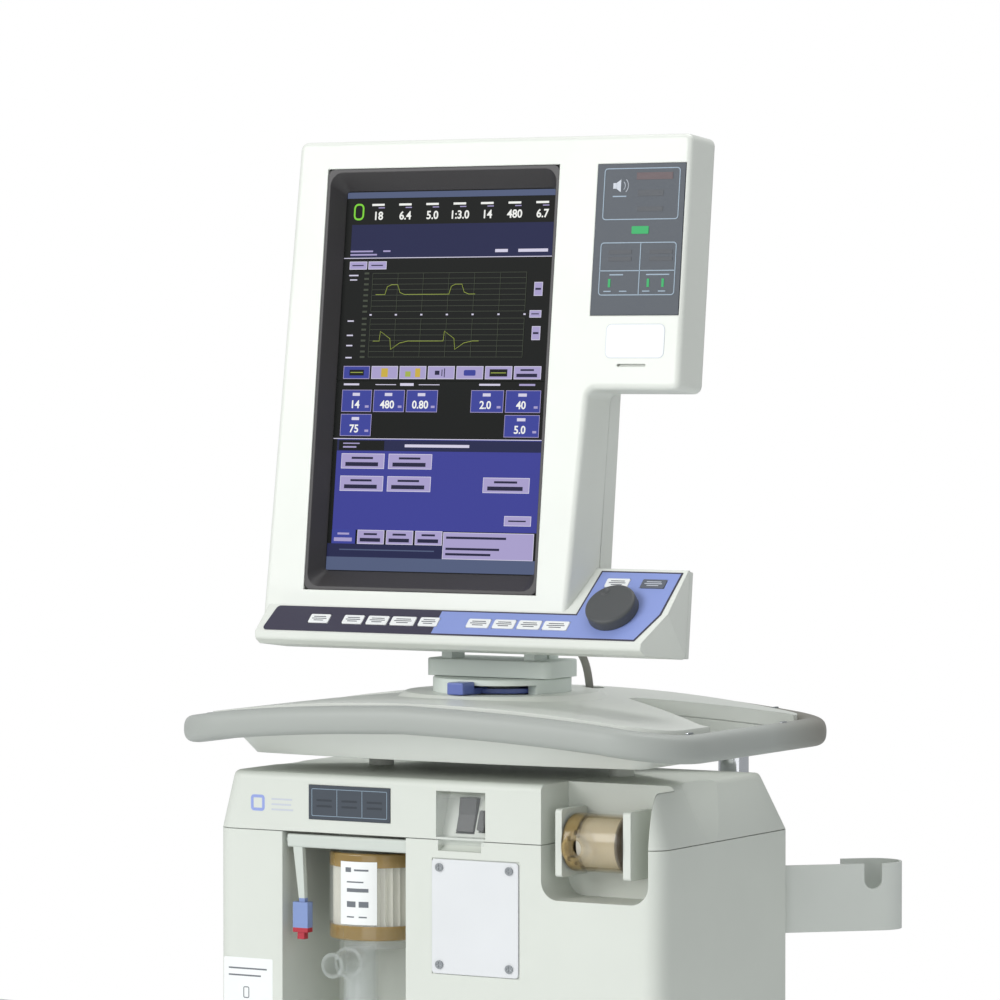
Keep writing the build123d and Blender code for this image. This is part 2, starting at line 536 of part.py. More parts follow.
# ---------------------------------------------------------------- display, upright about its tilt pin
STEEP = math.radians(CONSOLE_ANGLE)
SLOPE = math.tan(STEEP)
OUT = Vector(0, -math.sin(STEEP), math.cos(STEEP))      # out of the key panel


def panel_y(z):
    """Depth of the sloping key panel at height z."""
    return D_FRONT + (z - STRIP_TOP_Z) / SLOPE


def key_plane(x, z, lift=0.0):
    return Plane(Vector(x, panel_y(z), z) + OUT * lift, x_dir=(1, 0, 0), z_dir=OUT)


def console_form(shrink=0.0):
    s = shrink
    lip = panel_y(STRIP_BOTTOM_Z)
    steep = s / math.sin(math.radians(CONSOLE_ANGLE))
    top = min(CONSOLE_TOP_Z - s, STRIP_TOP_Z + (CONSOLE_BACK - 0.5 - steep - D_FRONT) * SLOPE)
    points = [(CONSOLE_BACK, D_BOTTOM + s), (lip + 9, D_BOTTOM + s), (lip + 1 + s, D_BOTTOM + 4 + s * 0.4),
              (lip + steep, STRIP_BOTTOM_Z), (panel_y(top) + steep, top), (CONSOLE_BACK, top)]
    return along_x(points, D_LEFT_BOTTOM + FOOT_INSET + s, CONSOLE_RIGHT - s)


def console_cut():
    """Material outside the slanted lower right end of the console."""
    a = Vector(CONSOLE_RIGHT - 0.5, D_FRONT, STRIP_TOP_Z)
    b = Vector(CONSOLE_RIGHT - 12, panel_y(STRIP_BOTTOM_Z), STRIP_BOTTOM_Z)
    c = Vector(CONSOLE_RIGHT - 0.5, CONSOLE_BACK, D_BOTTOM)
    normal = (b - a).cross(c - a)
    if normal.X < 0:
        normal = normal * -1
    return extrude(Plane(a, z_dir=normal) * Rectangle(400, 400), 120)


def frame_outline(front, inset=0.0):
    """Outline of the display's frame as x, z pairs, at its front face or at the parting."""
    wing, top, low = (WING_DRAFT, NOTCH_DRAFT_TOP, NOTCH_DRAFT_BOTTOM) if front else (0, 0, 0)
    s = inset
    return [(D_LEFT_BOTTOM + FOOT_INSET + s, D_BOTTOM + 8), (D_LEFT_BOTTOM + s, D_BOTTOM + FOOT_TALL),
            (D_LEFT_TOP + s, D_TOP - s), (D_RIGHT - wing - s, D_TOP - s),
            (D_RIGHT - wing - s, NOTCH_Z + s), (NOTCH_X_TOP - top - s, NOTCH_Z + s),
            (NOTCH_X_BOTTOM - low - s, D_BOTTOM + 8)]


def frame_form(y0, y1, inset=0.0):
    """Body of the frame, its right side drafted."""
    faces = []
    for front, y in ((True, y0), (False, y1)):
        outline = Polyline(*[(x, y, z) for x, z in frame_outline(front, inset)], close=True)
        faces.append(make_face(outline))
    return loft(faces)


def screen_block(w, h, y0, y1):
    return block(SCREEN_X - w / 2, SCREEN_X + w / 2, y0, y1, SCREEN_Z - h / 2, SCREEN_Z + h / 2)


def front_housing():
    frame = frame_form(D_FRONT, D_PARTING)
    corners = [e for e in frame.edges() if abs((e % 0.5).Y) > 0.9 and e.center().Z > D_BOTTOM + 20]
    frame = soften(frame, corners, (7, 5))
    frame = soften(frame, frame.faces().sort_by(Axis.Y)[0].edges(), (5, 4, 3))
    console = console_form()
    lip = console.edges().filter_by(Axis.X).group_by(Axis.Z)
    console = soften(console, lip[0][:1] + lip[1], (4, 3, 2))
    left = console.faces().sort_by(Axis.X)[0].edges()
    console = soften(console, left, (5, 3, 2))
    body = frame + console - console_cut()
    cavity = frame_form(D_FRONT + WALL + 0.5, D_PARTING + 1, WALL + 0.5)
    cavity += console_form(WALL + 0.5) - (Pos(-5, 0, 0) * console_cut())
    body -= cavity
    body -= screen_block(SURROUND_W + 0.6, SURROUND_H + 0.6, D_FRONT - 5, D_FRONT + SCREEN_DEPTH + 0.6)
    body -= screen_block(SCREEN_W + 9, SCREEN_H + 7, D_FRONT + SCREEN_DEPTH, D_FRONT + SCREEN_DEPTH + 7)
    body -= block(ALARM_X0, ALARM_X1, D_FRONT - 1, D_FRONT + 0.8, ALARM_Z0, ALARM_Z1)
    body -= block(SLOT_X0, SLOT_X1, D_FRONT - 1, D_FRONT + 3, SLOT_Z - 1, SLOT_Z + 1)
    for _, x, w in KEYS:
        body -= extrude(key_plane(x, KEY_Z) * Rectangle(w + 2 * KEY_GAP, KEY_TALL + 2 * KEY_GAP), 8, both=True)
    for _, x, w in BIG_KEYS:
        body -= extrude(key_plane(x, BIG_KEY_Z) * Rectangle(w + 2 * KEY_GAP, KEY_TALL + 2 * KEY_GAP), 7, both=True)
    return body - extrude(key_plane(KNOB_X, KNOB_Z) * Circle(4.08), 12, both=True)


def console_overlay():
    """Printed membrane round the keys, one bent sheet."""
    def corner(x, z):
        p = key_plane(0, z, 0.05).origin
        return (x, p.Y, p.Z)
    low, shelf, top = STRIP_BOTTOM_Z + MARGIN, STRIP_TOP_Z - MARGIN, CONSOLE_TOP_Z - 2.5
    outline = [(-180, low), (186.5, low), (200, STRIP_TOP_Z), (202.3, top), (124.5, top), (120, shelf),
               (-176, shelf)]
    edge = [corner(*p) for p in outline]
    sheet = extrude(make_face(Polyline(*edge, close=True)), OVERLAY, dir=OUT)
    short = [e for e in sheet.edges() if e.length < OVERLAY * 1.2 and e.center().X < -150]
    sheet = soften(sheet, short, (4, 3))
    for _, x, w in KEYS:
        sheet -= extrude(key_plane(x, KEY_Z) * Rectangle(w + 2 * KEY_GAP, KEY_TALL + 2 * KEY_GAP), 5, both=True)
    for _, x, w in BIG_KEYS:
        sheet -= extrude(key_plane(x, BIG_KEY_Z) * Rectangle(w + 2 * KEY_GAP, KEY_TALL + 2 * KEY_GAP), 5, both=True)
    return sheet - extrude(key_plane(KNOB_X, KNOB_Z) * Circle(5), 5, both=True)


def key(x, z, w):
    body = extrude(key_plane(x, z, -KEY_DEEP) * RectangleRounded(w, KEY_TALL, 1.5), KEY_DEEP + KEY_PROUD)
    return soften(body, body.faces().sort_by(Axis.Y)[0].edges(), (0.5,))


def control_knob():
    body = extrude(key_plane(KNOB_X, KNOB_Z, 1.2) * Circle(KNOB_R), KNOB_H, taper=2)
    top = body.faces().sort_by(Axis.Y)[0]
    body = soften(body, top.edges(), (2.5, 1.5))
    across, up = Vector(1, 0, 0), OUT.cross(Vector(1, 0, 0))
    dish = key_plane(KNOB_X, KNOB_Z, 1.2 + KNOB_H + 6).origin - across * 9 + up * 13
    dimple = Pos(*dish) * Sphere(7.5)
    shaft = extrude(key_plane(KNOB_X, KNOB_Z, 1.4) * Circle(4), -14)
    return body - dimple + shaft


def screen_surround():
    z = SCREEN_Z
    body = screen_block(SURROUND_W, SURROUND_H, D_FRONT + 0.4, D_FRONT + SCREEN_DEPTH)
    body = soften(body, body.edges().filter_by(Axis.Y), (6,))
    near = Plane((SCREEN_X, D_FRONT, z), x_dir=(1, 0, 0), z_dir=(0, 1, 0))
    far = Plane((SCREEN_X, D_FRONT + SCREEN_DEPTH + 0.5, z), x_dir=(1, 0, 0), z_dir=(0, 1, 0))
    wide = near * RectangleRounded(SURROUND_W - 5, SURROUND_H - 5, 12)
    narrow = far * RectangleRounded(SCREEN_W, SCREEN_H, 3)
    return body - loft([wide, narrow])


def display_panels():
    half = SCREEN_H / 2
    y0 = D_FRONT + SCREEN_DEPTH + 0.2
    low, mid, high = SCREEN_Z - half - 3, SCREEN_Z, SCREEN_Z + half + 3
    spans = ((low, mid - 0.2), (mid + 0.2, high))
    return Compound(children=[block(SCREEN_X - 108, SCREEN_X + 108, y0, y0 + 6, a, b) for a, b in spans])


def alarm_status_panel():
    return block(ALARM_X0 + 0.3, ALARM_X1 - 0.3, D_FRONT - 0.5, D_FRONT + 0.7, ALARM_Z0 + 0.3, ALARM_Z1 - 0.3)


def circuit_board():
    board = block(-150, 90, -44, -42.4, 90, 370)
    for x, z in ((-100, 330), (20, 300), (-60, 180), (40, 140)):
        board += block(x - 18, x + 18, -42.5, -38, z - 14, z + 14)
    encoder = Plane(key_plane(KNOB_X, KNOB_Z, -13.2).origin, x_dir=(1, 0, 0), z_dir=-OUT)
    return Compound(children=[board, extrude(encoder * Rectangle(14, 14), 5)])


def rear_housing():
    def section(x0, x1, z0, z1, y, r=14.0):
        plane = Plane(((x0 + x1) / 2, y, (z0 + z1) / 2), x_dir=(1, 0, 0), z_dir=(0, 1, 0))
        return plane * RectangleRounded(x1 - x0, z1 - z0, r)

    def form(s):
        start = D_PARTING + SEAM - (1 if s else 0)
        edge = section(-178 + s, 119.5 - s, 4 + s, 416 - s, start)
        middle = section(-174 + s, 118.5 - s, 6 + s, 405 - s, D_MID)
        back = section(-130 + s, 66 - s, 28 + s, 330 - s, D_BACK - s)
        return loft([edge, middle]) + loft([middle, back])

    def backing(x1, z0, z1, y0, thick, radius):
        plate = block(90, x1, y0, y0 + thick, z0, z1)
        return soften(plate, plate.faces().sort_by(Axis.Y)[-1].edges(), (radius, 2))
    outer = form(0)
    outer = soften(outer, outer.faces().sort_by(Axis.Y)[-1].edges(), (8, 5))
    body = outer + backing(D_RIGHT - 3, NOTCH_Z + 3, D_TOP - 4, D_PARTING + SEAM, 4, 3)
    body += backing(CONSOLE_RIGHT - 0.7, D_BOTTOM + 1, CONSOLE_TOP_Z - 1, CONSOLE_BACK + SEAM, 13, 9)
    lugs = block(47, 61, -9, 9, -9, 25) + block(-61, -47, -9, 9, -9, 25)         # hold the tilt pin
    yoke = block(-58, 58, CONSOLE_BACK + SEAM + WALL, 24, -30, 22)
    yoke_walls = block(-58 - WALL, 58 + WALL, CONSOLE_BACK + SEAM, 24 + WALL, -2, 22 + WALL)
    body -= form(WALL) - yoke_walls
    body -= yoke
    for row in range(9):
        z = 300 - row * 9
        body -= block(-85, 30, D_BACK - 6, D_BACK + 2, z, z + 4)
    return body + lugs + rod(PIN_R, (-60, 0, 0), (60, 0, 0))


def place_display(shape):
    """Lean the upright display back and set it on its tilt pin."""
    return Pos(0, TILT_Y, TILT_Z) * Rot(-TILT_REST, 0, 0) * shape


# ---------------------------------------------------------------- cart
def compressor_cabinet():
    outer = extrude(Pos(0, 0, CAB_Z0) * unit_plan(), CAB_Z1 - CAB_Z0)
    outer = soften(outer, outer.faces().sort_by(Axis.Z)[0].edges(), (4, 2))
    inner = extrude(Pos(0, 0, CAB_Z0 + WALL) * unit_plan(WALL), CAB_Z1 - CAB_Z0 - 2 * WALL)
    body = outer - inner
    return body - block(-180, 180, UNIT_FRONT - 1, UNIT_FRONT + WALL + 1, CAB_Z0 + 30, CAB_Z1 - 30)


def compressor_grille():
    body = block(-179.4, 179.4, UNIT_FRONT - 2, UNIT_FRONT + 2.9, CAB_Z0 + 30.6, CAB_Z1 - 30.6)
    body = soften(body, body.edges().filter_by(Axis.Y), (8,))
    for row in range(12):
        z = CAB_Z0 + 60 + row * 11
        body -= block(-140, 140, UNIT_FRONT - 3, UNIT_FRONT + 4, z, z + 4.5)
    return body


def compressor_pump():
    body = rod(62, (-70, 0, 345), (70, 0, 345)) + block(-90, 90, -70, 70, CAB_Z0 + WALL + 0.2, 300)
    return body + rod(30, (0, 0, 345), (0, 0, 470))


def battery_pack():
    body = block(-BATTERY_X, BATTERY_X, BATTERY_Y0, BATTERY_Y1, BATTERY_Z0, BATTERY_Z1)
    return soften(body, body.edges(), (5, 3))


def rear_posts():
    posts = []
    for x in (-POST_X, POST_X):
        post = rod(POST_R, (x, POST_Y, FRAME_Z1 + 0.1), (x, POST_Y, POST_TOP))
        posts.append(post - rod(POST_R - 2.5, (x, POST_Y, FRAME_Z1), (x, POST_Y, POST_TOP - 4)))
    return Compound(children=posts)


def base_frame():
    """Deck plate with a socket for each caster stem."""
    body = rounded_slab(BASE_W - 16, BASE_D - 16, 50, 0, 0, FRAME_Z1 - DECK, FRAME_Z1)
    for x in (-CASTER_X, CASTER_X):
        for y in (CASTER_FRONT, CASTER_REAR):
            body += rod(22, (x, y, FRAME_Z0), (x, y, FRAME_Z1 - 1))
            body -= rod(STEM_R + STEM_GAP, (x, y, FRAME_Z0 - 1), (x, y, FRAME_Z1 - 4))
    return body


def base_cover():
    outer = rounded_slab(BASE_W, BASE_D, 60, 0, 0, BASE_Z0, BASE_Z1)
    outer = soften(outer, outer.faces().sort_by(Axis.Z)[-1].edges(), (22, 16))
    inner = rounded_slab(BASE_W - 8, BASE_D - 8, 56, 0, 0, BASE_Z0 - 1, BASE_Z1 - 4)
    inner = soften(inner, inner.faces().sort_by(Axis.Z)[-1].edges(), (18, 12))
    body = outer - inner
    for x in (-POST_X, POST_X):
        body -= rod(POST_R + 0.4, (x, POST_Y, 150), (x, POST_Y, 200))
    return body


def caster_fork(x, y, braked):
    """Stem, crown, two legs and axle of one caster, trailing to the back."""
    wheel = y + TRAIL
    body = rod(26, (x, y, 104), (x, y, 118)) + rod(STEM_R, (x, y, 117), (x, y, FRAME_Z1 - 8))
    body = body + block(x - 19, x + 19, y, wheel + 6, 104, 112)
    for side in (-1, 1):
        x0, x1 = sorted((x + side * 19, x + side * 14.5))
        leg = [(y - 14, 112), (wheel + 12, 112), (wheel + 11, WHEEL_R - 10), (wheel - 11, WHEEL_R - 10)]
        body += along_x(leg, x0, x1)
        if braked:
            body += block(*sorted((x + side * 13, x + side * 17)), y - 27, y - 17, PEDAL_Z - 4, 105)
            body -= rod(2.56, (x + side * 12, y - 22, PEDAL_Z), (x + side * 18, y - 22, PEDAL_Z))
    return body + rod(AXLE_R, (x - 18, wheel, WHEEL_R), (x + 18, wheel, WHEEL_R))


def caster_wheel(x, y):
    """Tread ring on a dished hub."""
    wheel = y + TRAIL
    def disc(r, half):
        return rod(r, (x - half, wheel, WHEEL_R), (x + half, wheel, WHEEL_R))
    tread = disc(WHEEL_R, WHEEL_W / 2)
    tread = soften(tread, tread.edges(), (4,)) - disc(WHEEL_R - 10, WHEEL_W)
    hub = disc(WHEEL_R - 10, WHEEL_W / 2 - 2) - disc(AXLE_R + AXLE_GAP, WHEEL_W)
    for side in (-1, 1):
        face = x + side * (WHEEL_W / 2 - 2)
        ends = (face, wheel, WHEEL_R), (face - side * 4, wheel, WHEEL_R)
        hub -= rod(WHEEL_R - 15, *ends) - rod(12, *ends)
    return Compound(children=[tread, hub])


def brake_pedal(x, y):
    """Foot lever pinned in front of the crown, clear of the wheel."""
    pivot = y - 22
    body = rod(4, (x - 12.5, pivot, PEDAL_Z), (x + 12.5, pivot, PEDAL_Z))
    body += rod(2.5, (x - 17, pivot, PEDAL_Z), (x + 17, pivot, PEDAL_Z))
    blade = block(x - 12.5, x + 12.5, pivot - 40, pivot, PEDAL_Z - 3, PEDAL_Z + 3)
    return body + soften(blade, blade.edges().filter_by(Axis.Z).group_by(Axis.Y)[0], (6,))


def display_cable():
    radii = []
    pts = [Vector(p) for p in CABLE_ROUTE]
    for a, b, c in zip(pts, pts[1:], pts[2:]):
        turn = (b - a).get_angle(c - b)
        radii.append(0.45 * min((b - a).length, (c - b).length) / math.tan(math.radians(turn) / 2))
    line = FilletPolyline(*pts, radius=radii)
    print("cable radii", [round(r) for r in radii], "length", round(line.length, 1))
    tube = sweep(Plane(line @ 0, z_dir=line % 0) * Circle(CABLE_R), path=line)
    print("cable volume share", round(tube.volume / (math.pi * CABLE_R ** 2 * line.length), 4))
    return tube


# ---------------------------------------------------------------- assembly
def build():
    parts["unit_housing"] = unit_housing()
    parts["unit_top_cover"] = top_cover()
    parts["unit_rear_panel"] = rear_panel()
    parts["blank_plate"] = blank_plate()
    parts["plate_screws"] = plate_screws()
    parts["unit_status_panel"] = status_panel()
    parts["power_rocker"] = seat_on_switch(power_rocker(), -2, 16)
    parts["breaker_button"] = seat_on_switch(breaker_button(), 15, 11)
    parts["switch_guard"] = switch_guard()
    parts["exp_filter_shell"] = exp_filter_shell()
    parts["filter_media"] = filter_media()
    parts["collector_vial"] = collector_vial()
    parts["insp_filter_shell"] = insp_filter_shell()
    parts["insp_cradle"] = insp_cradle()
    parts["filter_latch"] = filter_latch()
    parts["gas_block"] = gas_block()
    parts["hose_bracket"] = hose_bracket()
    parts["handle_rail"] = handle_rail()
    parts["handle_upper_shell"] = handle_upper_shell()
    parts["handle_lower_shell"] = handle_lower_shell()
    parts["turntable_ring"] = turntable_ring()
    parts["lock_lever"] = lock_lever()
    parts["swivel_collar"] = swivel_collar()
    parts["display_cable"] = display_cable()
    parts["compressor_cabinet"] = compressor_cabinet()
    parts["compressor_grille"] = compressor_grille()
    parts["compressor_pump"] = compressor_pump()
    parts["battery_pack"] = battery_pack()
    parts["rear_posts"] = rear_posts()
    parts["base_frame"] = base_frame()
    parts["base_cover"] = base_cover()
    for side, x in (("left", -CASTER_X), ("right", CASTER_X)):
        for end, y in (("front", CASTER_FRONT), ("rear", CASTER_REAR)):
            parts[f"fork_{end}_{side}"] = caster_fork(x, y, end == "front")
            parts[f"wheel_{end}_{side}"] = caster_wheel(x, y)
        parts[f"pedal_front_{side}"] = brake_pedal(x, CASTER_FRONT)
    display = {
        "front_housing": front_housing(), "rear_housing": rear_housing(),
        "screen_surround": screen_surround(), "display_panels": display_panels(),
        "console_overlay": console_overlay(), "alarm_status_panel": alarm_status_panel(),
        "display_board": circuit_board(), "control_knob": control_knob(),
    }
    for name, x, w in KEYS:
        display[name] = key(x, KEY_Z, w)
    for name, x, w in BIG_KEYS:
        display[name] = key(x, BIG_KEY_Z, w)
    for name, shape in display.items():
        parts[name] = place_display(shape)


build()
os.makedirs("parts", exist_ok=True)
for name, shape in parts.items():
    export_step(shape, f"parts/{name}.step")
print(len(parts), "nodes")
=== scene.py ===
import json
import math

import bpy
from mathutils import Matrix, Vector


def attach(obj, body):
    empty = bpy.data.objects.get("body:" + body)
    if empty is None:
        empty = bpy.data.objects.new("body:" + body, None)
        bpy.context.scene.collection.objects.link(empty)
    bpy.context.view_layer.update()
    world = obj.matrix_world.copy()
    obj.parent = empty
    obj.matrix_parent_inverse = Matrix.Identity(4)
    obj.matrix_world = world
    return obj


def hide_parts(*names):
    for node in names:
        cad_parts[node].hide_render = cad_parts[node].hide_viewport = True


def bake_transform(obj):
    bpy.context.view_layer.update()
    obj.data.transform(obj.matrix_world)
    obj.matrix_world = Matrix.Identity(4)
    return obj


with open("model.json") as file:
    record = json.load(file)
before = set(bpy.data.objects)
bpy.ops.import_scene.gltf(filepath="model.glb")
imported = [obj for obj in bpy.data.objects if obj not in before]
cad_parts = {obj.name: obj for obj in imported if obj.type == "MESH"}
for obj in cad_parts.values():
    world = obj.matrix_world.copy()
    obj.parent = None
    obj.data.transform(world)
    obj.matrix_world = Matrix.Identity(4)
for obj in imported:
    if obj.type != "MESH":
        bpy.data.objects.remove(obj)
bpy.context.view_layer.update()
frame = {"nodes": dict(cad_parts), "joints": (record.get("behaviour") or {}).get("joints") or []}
mm = 0.001
joints = {joint["name"]: joint for joint in frame["joints"]}


# small tools for working as by hand
def deselect():
    if bpy.context.mode != "OBJECT":
        bpy.ops.object.mode_set(mode="OBJECT")
    bpy.ops.object.select_all(action="DESELECT")


def only(piece):
    deselect()
    piece.select_set(True)
    bpy.context.view_layer.objects.active = piece


def edit(piece, mode="FACE"):
    only(piece)
    bpy.ops.object.mode_set(mode="EDIT")
    bpy.ops.mesh.select_mode(type=mode)


def settle(piece, turned=None):  # put the place into the mesh
    if turned is not None:
        piece.matrix_world = turned @ piece.matrix_world
    only(piece)
    bpy.ops.object.transform_apply(location=True, rotation=True, scale=True)


def pickFaces(piece, test):
    bpy.ops.object.mode_set(mode="OBJECT")
    for part in (piece.data.vertices, piece.data.edges, piece.data.polygons):
        for item in part:
            item.select = False
    for face in piece.data.polygons:
        face.select = test(face)
    bpy.ops.object.mode_set(mode="EDIT")


def useModifier(piece, kind, **settings):
    only(piece)
    modifier = piece.modifiers.new(kind.lower(), kind)
    for key, value in settings.items():
        setattr(modifier, key, value)
    bpy.ops.object.modifier_apply(modifier=modifier.name)


def joined(pieces, name):
    deselect()
    for piece in pieces:
        piece.select_set(True)
    bpy.context.view_layer.objects.active = pieces[0]
    bpy.ops.object.join()
    pieces[0].name = name
    pieces[0].data.name = name
    return pieces[0]


def finished(piece, body, smooth=35):
    only(piece)
    bpy.ops.object.shade_smooth_by_angle(angle=math.radians(smooth))
    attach(piece, body)
    return piece


# finishes
def tone(code):  # "#rrggbb" to the linear colour that sockets take
    parts = [int(code[k:k + 2], 16) / 255 for k in (1, 3, 5)]
    return [(c / 12.92 if c <= 0.04045 else ((c + 0.055) / 1.055) ** 2.4) for c in parts] + [1.0]


def shaded(colour, amount):
    return [min(1.0, c * amount) for c in colour[:3]] + [1.0]


def node(tree, kind, inputs=None, **settings):
    made = tree.nodes.new(kind)
    for key, value in settings.items():
        setattr(made, key, value)
    for key, value in (inputs or {}).items():
        made.inputs[key].default_value = value
    return made


def newFinish(name):
    material = bpy.data.materials.new(name)
    material.use_nodes = True
    tree = material.node_tree
    return material, tree, tree.nodes["Principled BSDF"], tree.nodes.new("ShaderNodeTexCoord").outputs["Object"]


def cloudyColour(tree, spot, shader, low, high, scale=9, detail=3):
    cloud = node(tree, "ShaderNodeTexNoise", {"Scale": scale, "Detail": detail})
    ramp = node(tree, "ShaderNodeValToRGB")
    ramp.color_ramp.elements[0].position = 0.3
    ramp.color_ramp.elements[1].position = 0.7
    ramp.color_ramp.elements[0].color = low
    ramp.color_ramp.elements[1].color = high
    tree.links.new(spot, cloud.inputs["Vector"])
    tree.links.new(cloud.outputs["Fac"], ramp.inputs["Fac"])
    tree.links.new(ramp.outputs["Color"], shader.inputs["Base Color"])
    return ramp


def grainSurface(tree, spot, shader, grain, depth, rough, edge):
    fine = node(tree, "ShaderNodeTexNoise", {"Scale": grain, "Detail": 2})
    spread = node(tree, "ShaderNodeMapRange", {"To Min": rough - 0.06, "To Max": rough + 0.08})
    bump = node(tree, "ShaderNodeBump", {"Strength": depth, "Distance": 0.0003})
    tree.links.new(spot, fine.inputs["Vector"])
    tree.links.new(fine.outputs["Fac"], spread.inputs["Value"])
    tree.links.new(spread.outputs["Result"], shader.inputs["Roughness"])
    tree.links.new(fine.outputs["Fac"], bump.inputs["Height"])
    if edge:
        rounder = node(tree, "ShaderNodeBevel", {"Radius": edge}, samples=4)
        tree.links.new(rounder.outputs["Normal"], bump.inputs["Normal"])
    tree.links.new(bump.outputs["Normal"], shader.inputs["Normal"])


def moulded(name, colour, rough=0.45, grain=1300, depth=0.12, drift=0.03, edge=0.0008, metal=0.0, coat=0.0):
    material, tree, shader, spot = newFinish(name)
    base = tone(colour)
    cloudyColour(tree, spot, shader, shaded(base, 1 - drift), shaded(base, 1 + drift * 0.5))
    grainSurface(tree, spot, shader, grain, depth, rough, edge)
    shader.inputs["Metallic"].default_value = metal
    shader.inputs["Coat Weight"].default_value = coat
    return material


def seeThrough(name, colour, alpha, rough=0.12):
    material = moulded(name, colour, rough, grain=500, depth=0.04, drift=0.06, edge=0, coat=0.6)
    material.node_tree.nodes["Principled BSDF"].inputs["Alpha"].default_value = alpha
    return material


def seeThroughBands(name, along, stops, rough=0.16):  # (top of the band, colour, alpha), lowest first
    material, tree, shader, spot = newFinish(name)
    apart = node(tree, "ShaderNodeSeparateXYZ")
    low, high = stops[0][0] - 0.02, stops[-1][0]
    share = node(tree, "ShaderNodeMapRange", {"From Min": low, "From Max": high})
    ramp = node(tree, "ShaderNodeValToRGB")
    ramp.color_ramp.interpolation = "CONSTANT"
    ramp.color_ramp.elements.remove(ramp.color_ramp.elements[1])
    ramp.color_ramp.elements[0].color = tone(stops[0][1])[:3] + [stops[0][2]]
    for (top, _, _), (_, colour, alpha) in zip(stops, stops[1:]):
        ramp.color_ramp.elements.new((top - low) / (high - low)).color = tone(colour)[:3] + [alpha]
    tree.links.new(spot, apart.inputs["Vector"])
    tree.links.new(apart.outputs[along], share.inputs["Value"])
    tree.links.new(share.outputs["Result"], ramp.inputs["Fac"])
    tree.links.new(ramp.outputs["Color"], shader.inputs["Base Color"])
    tree.links.new(ramp.outputs["Alpha"], shader.inputs["Alpha"])
    grainSurface(tree, spot, shader, 500, 0.04, rough, 0)
    shader.inputs["Coat Weight"].default_value = 0.5
    return material


def glowing(name, colour, strength=1.0, rough=0.3):
    material, tree, shader, spot = newFinish(name)
    base = tone(colour)
    cloudyColour(tree, spot, shader, shaded(base, 0.05), shaded(base, 0.07), scale=14)
    pixels = node(tree, "ShaderNodeTexWave", {"Scale": 520, "Distortion": 0}, bands_direction="X")
    dim = node(tree, "ShaderNodeMapRange", {"To Min": 0.86, "To Max": 1.0})
    light = node(tree, "ShaderNodeMix", {0: 1.0, 6: base}, data_type="RGBA", blend_type="MULTIPLY")
    tree.links.new(spot, pixels.inputs["Vector"])
    tree.links.new(pixels.outputs["Fac"], dim.inputs["Value"])
    tree.links.new(dim.outputs["Result"], light.inputs[7])
    tree.links.new(light.outputs[2], shader.inputs["Emission Color"])
    shader.inputs["Emission Strength"].default_value = strength
    shader.inputs["Roughness"].default_value = rough
    shader.inputs["Specular IOR Level"].default_value = 0.05
    return material


def bandedUp(name, stops, rough=0.45):  # colour by height, lowest first: (top of the band, colour)
    material, tree, shader, spot = newFinish(name)
    apart = node(tree, "ShaderNodeSeparateXYZ")
    low, high = stops[0][0] - 0.02, stops[-1][0]
    share = node(tree, "ShaderNodeMapRange", {"From Min": low, "From Max": high})
    ramp = node(tree, "ShaderNodeValToRGB")
    ramp.color_ramp.interpolation = "CONSTANT"
    ramp.color_ramp.elements.remove(ramp.color_ramp.elements[1])
    ramp.color_ramp.elements[0].color = tone(stops[0][1])
    for (top, _), (_, colour) in zip(stops, stops[1:]):
        ramp.color_ramp.elements.new((top - low) / (high - low)).color = tone(colour)
    tree.links.new(spot, apart.inputs["Vector"])
    tree.links.new(apart.outputs["Z"], share.inputs["Value"])
    tree.links.new(share.outputs["Result"], ramp.inputs["Fac"])
    tree.links.new(ramp.outputs["Color"], shader.inputs["Base Color"])
    grainSurface(tree, spot, shader, 1300, 0.1, rough, 0.0008)
    return material


def railRubber():  # soft grey grip with painted shade, darker and browner towards the back
    material, tree, shader, spot = newFinish("railRubber")
    apart = node(tree, "ShaderNodeSeparateXYZ")
    # painted shade: blends the grip from its front colour to a darker, browner one towards the back
    backShadeShare = node(tree, "ShaderNodeMapRange", {"From Min": 0.02, "From Max": 0.13})
    ramp = node(tree, "ShaderNodeValToRGB")
    ramp.color_ramp.elements[0].color = tone("#a5a9a4")
    ramp.color_ramp.elements[1].color = tone("#7d7a70")
    tree.links.new(spot, apart.inputs["Vector"])
    tree.links.new(apart.outputs["Y"], backShadeShare.inputs["Value"])
    tree.links.new(backShadeShare.outputs["Result"], ramp.inputs["Fac"])
    tree.links.new(ramp.outputs["Color"], shader.inputs["Base Color"])
    grainSurface(tree, spot, shader, 1800, 0.2, 0.48, 0)
    shader.inputs["Sheen Weight"].default_value = 0.15
    return material


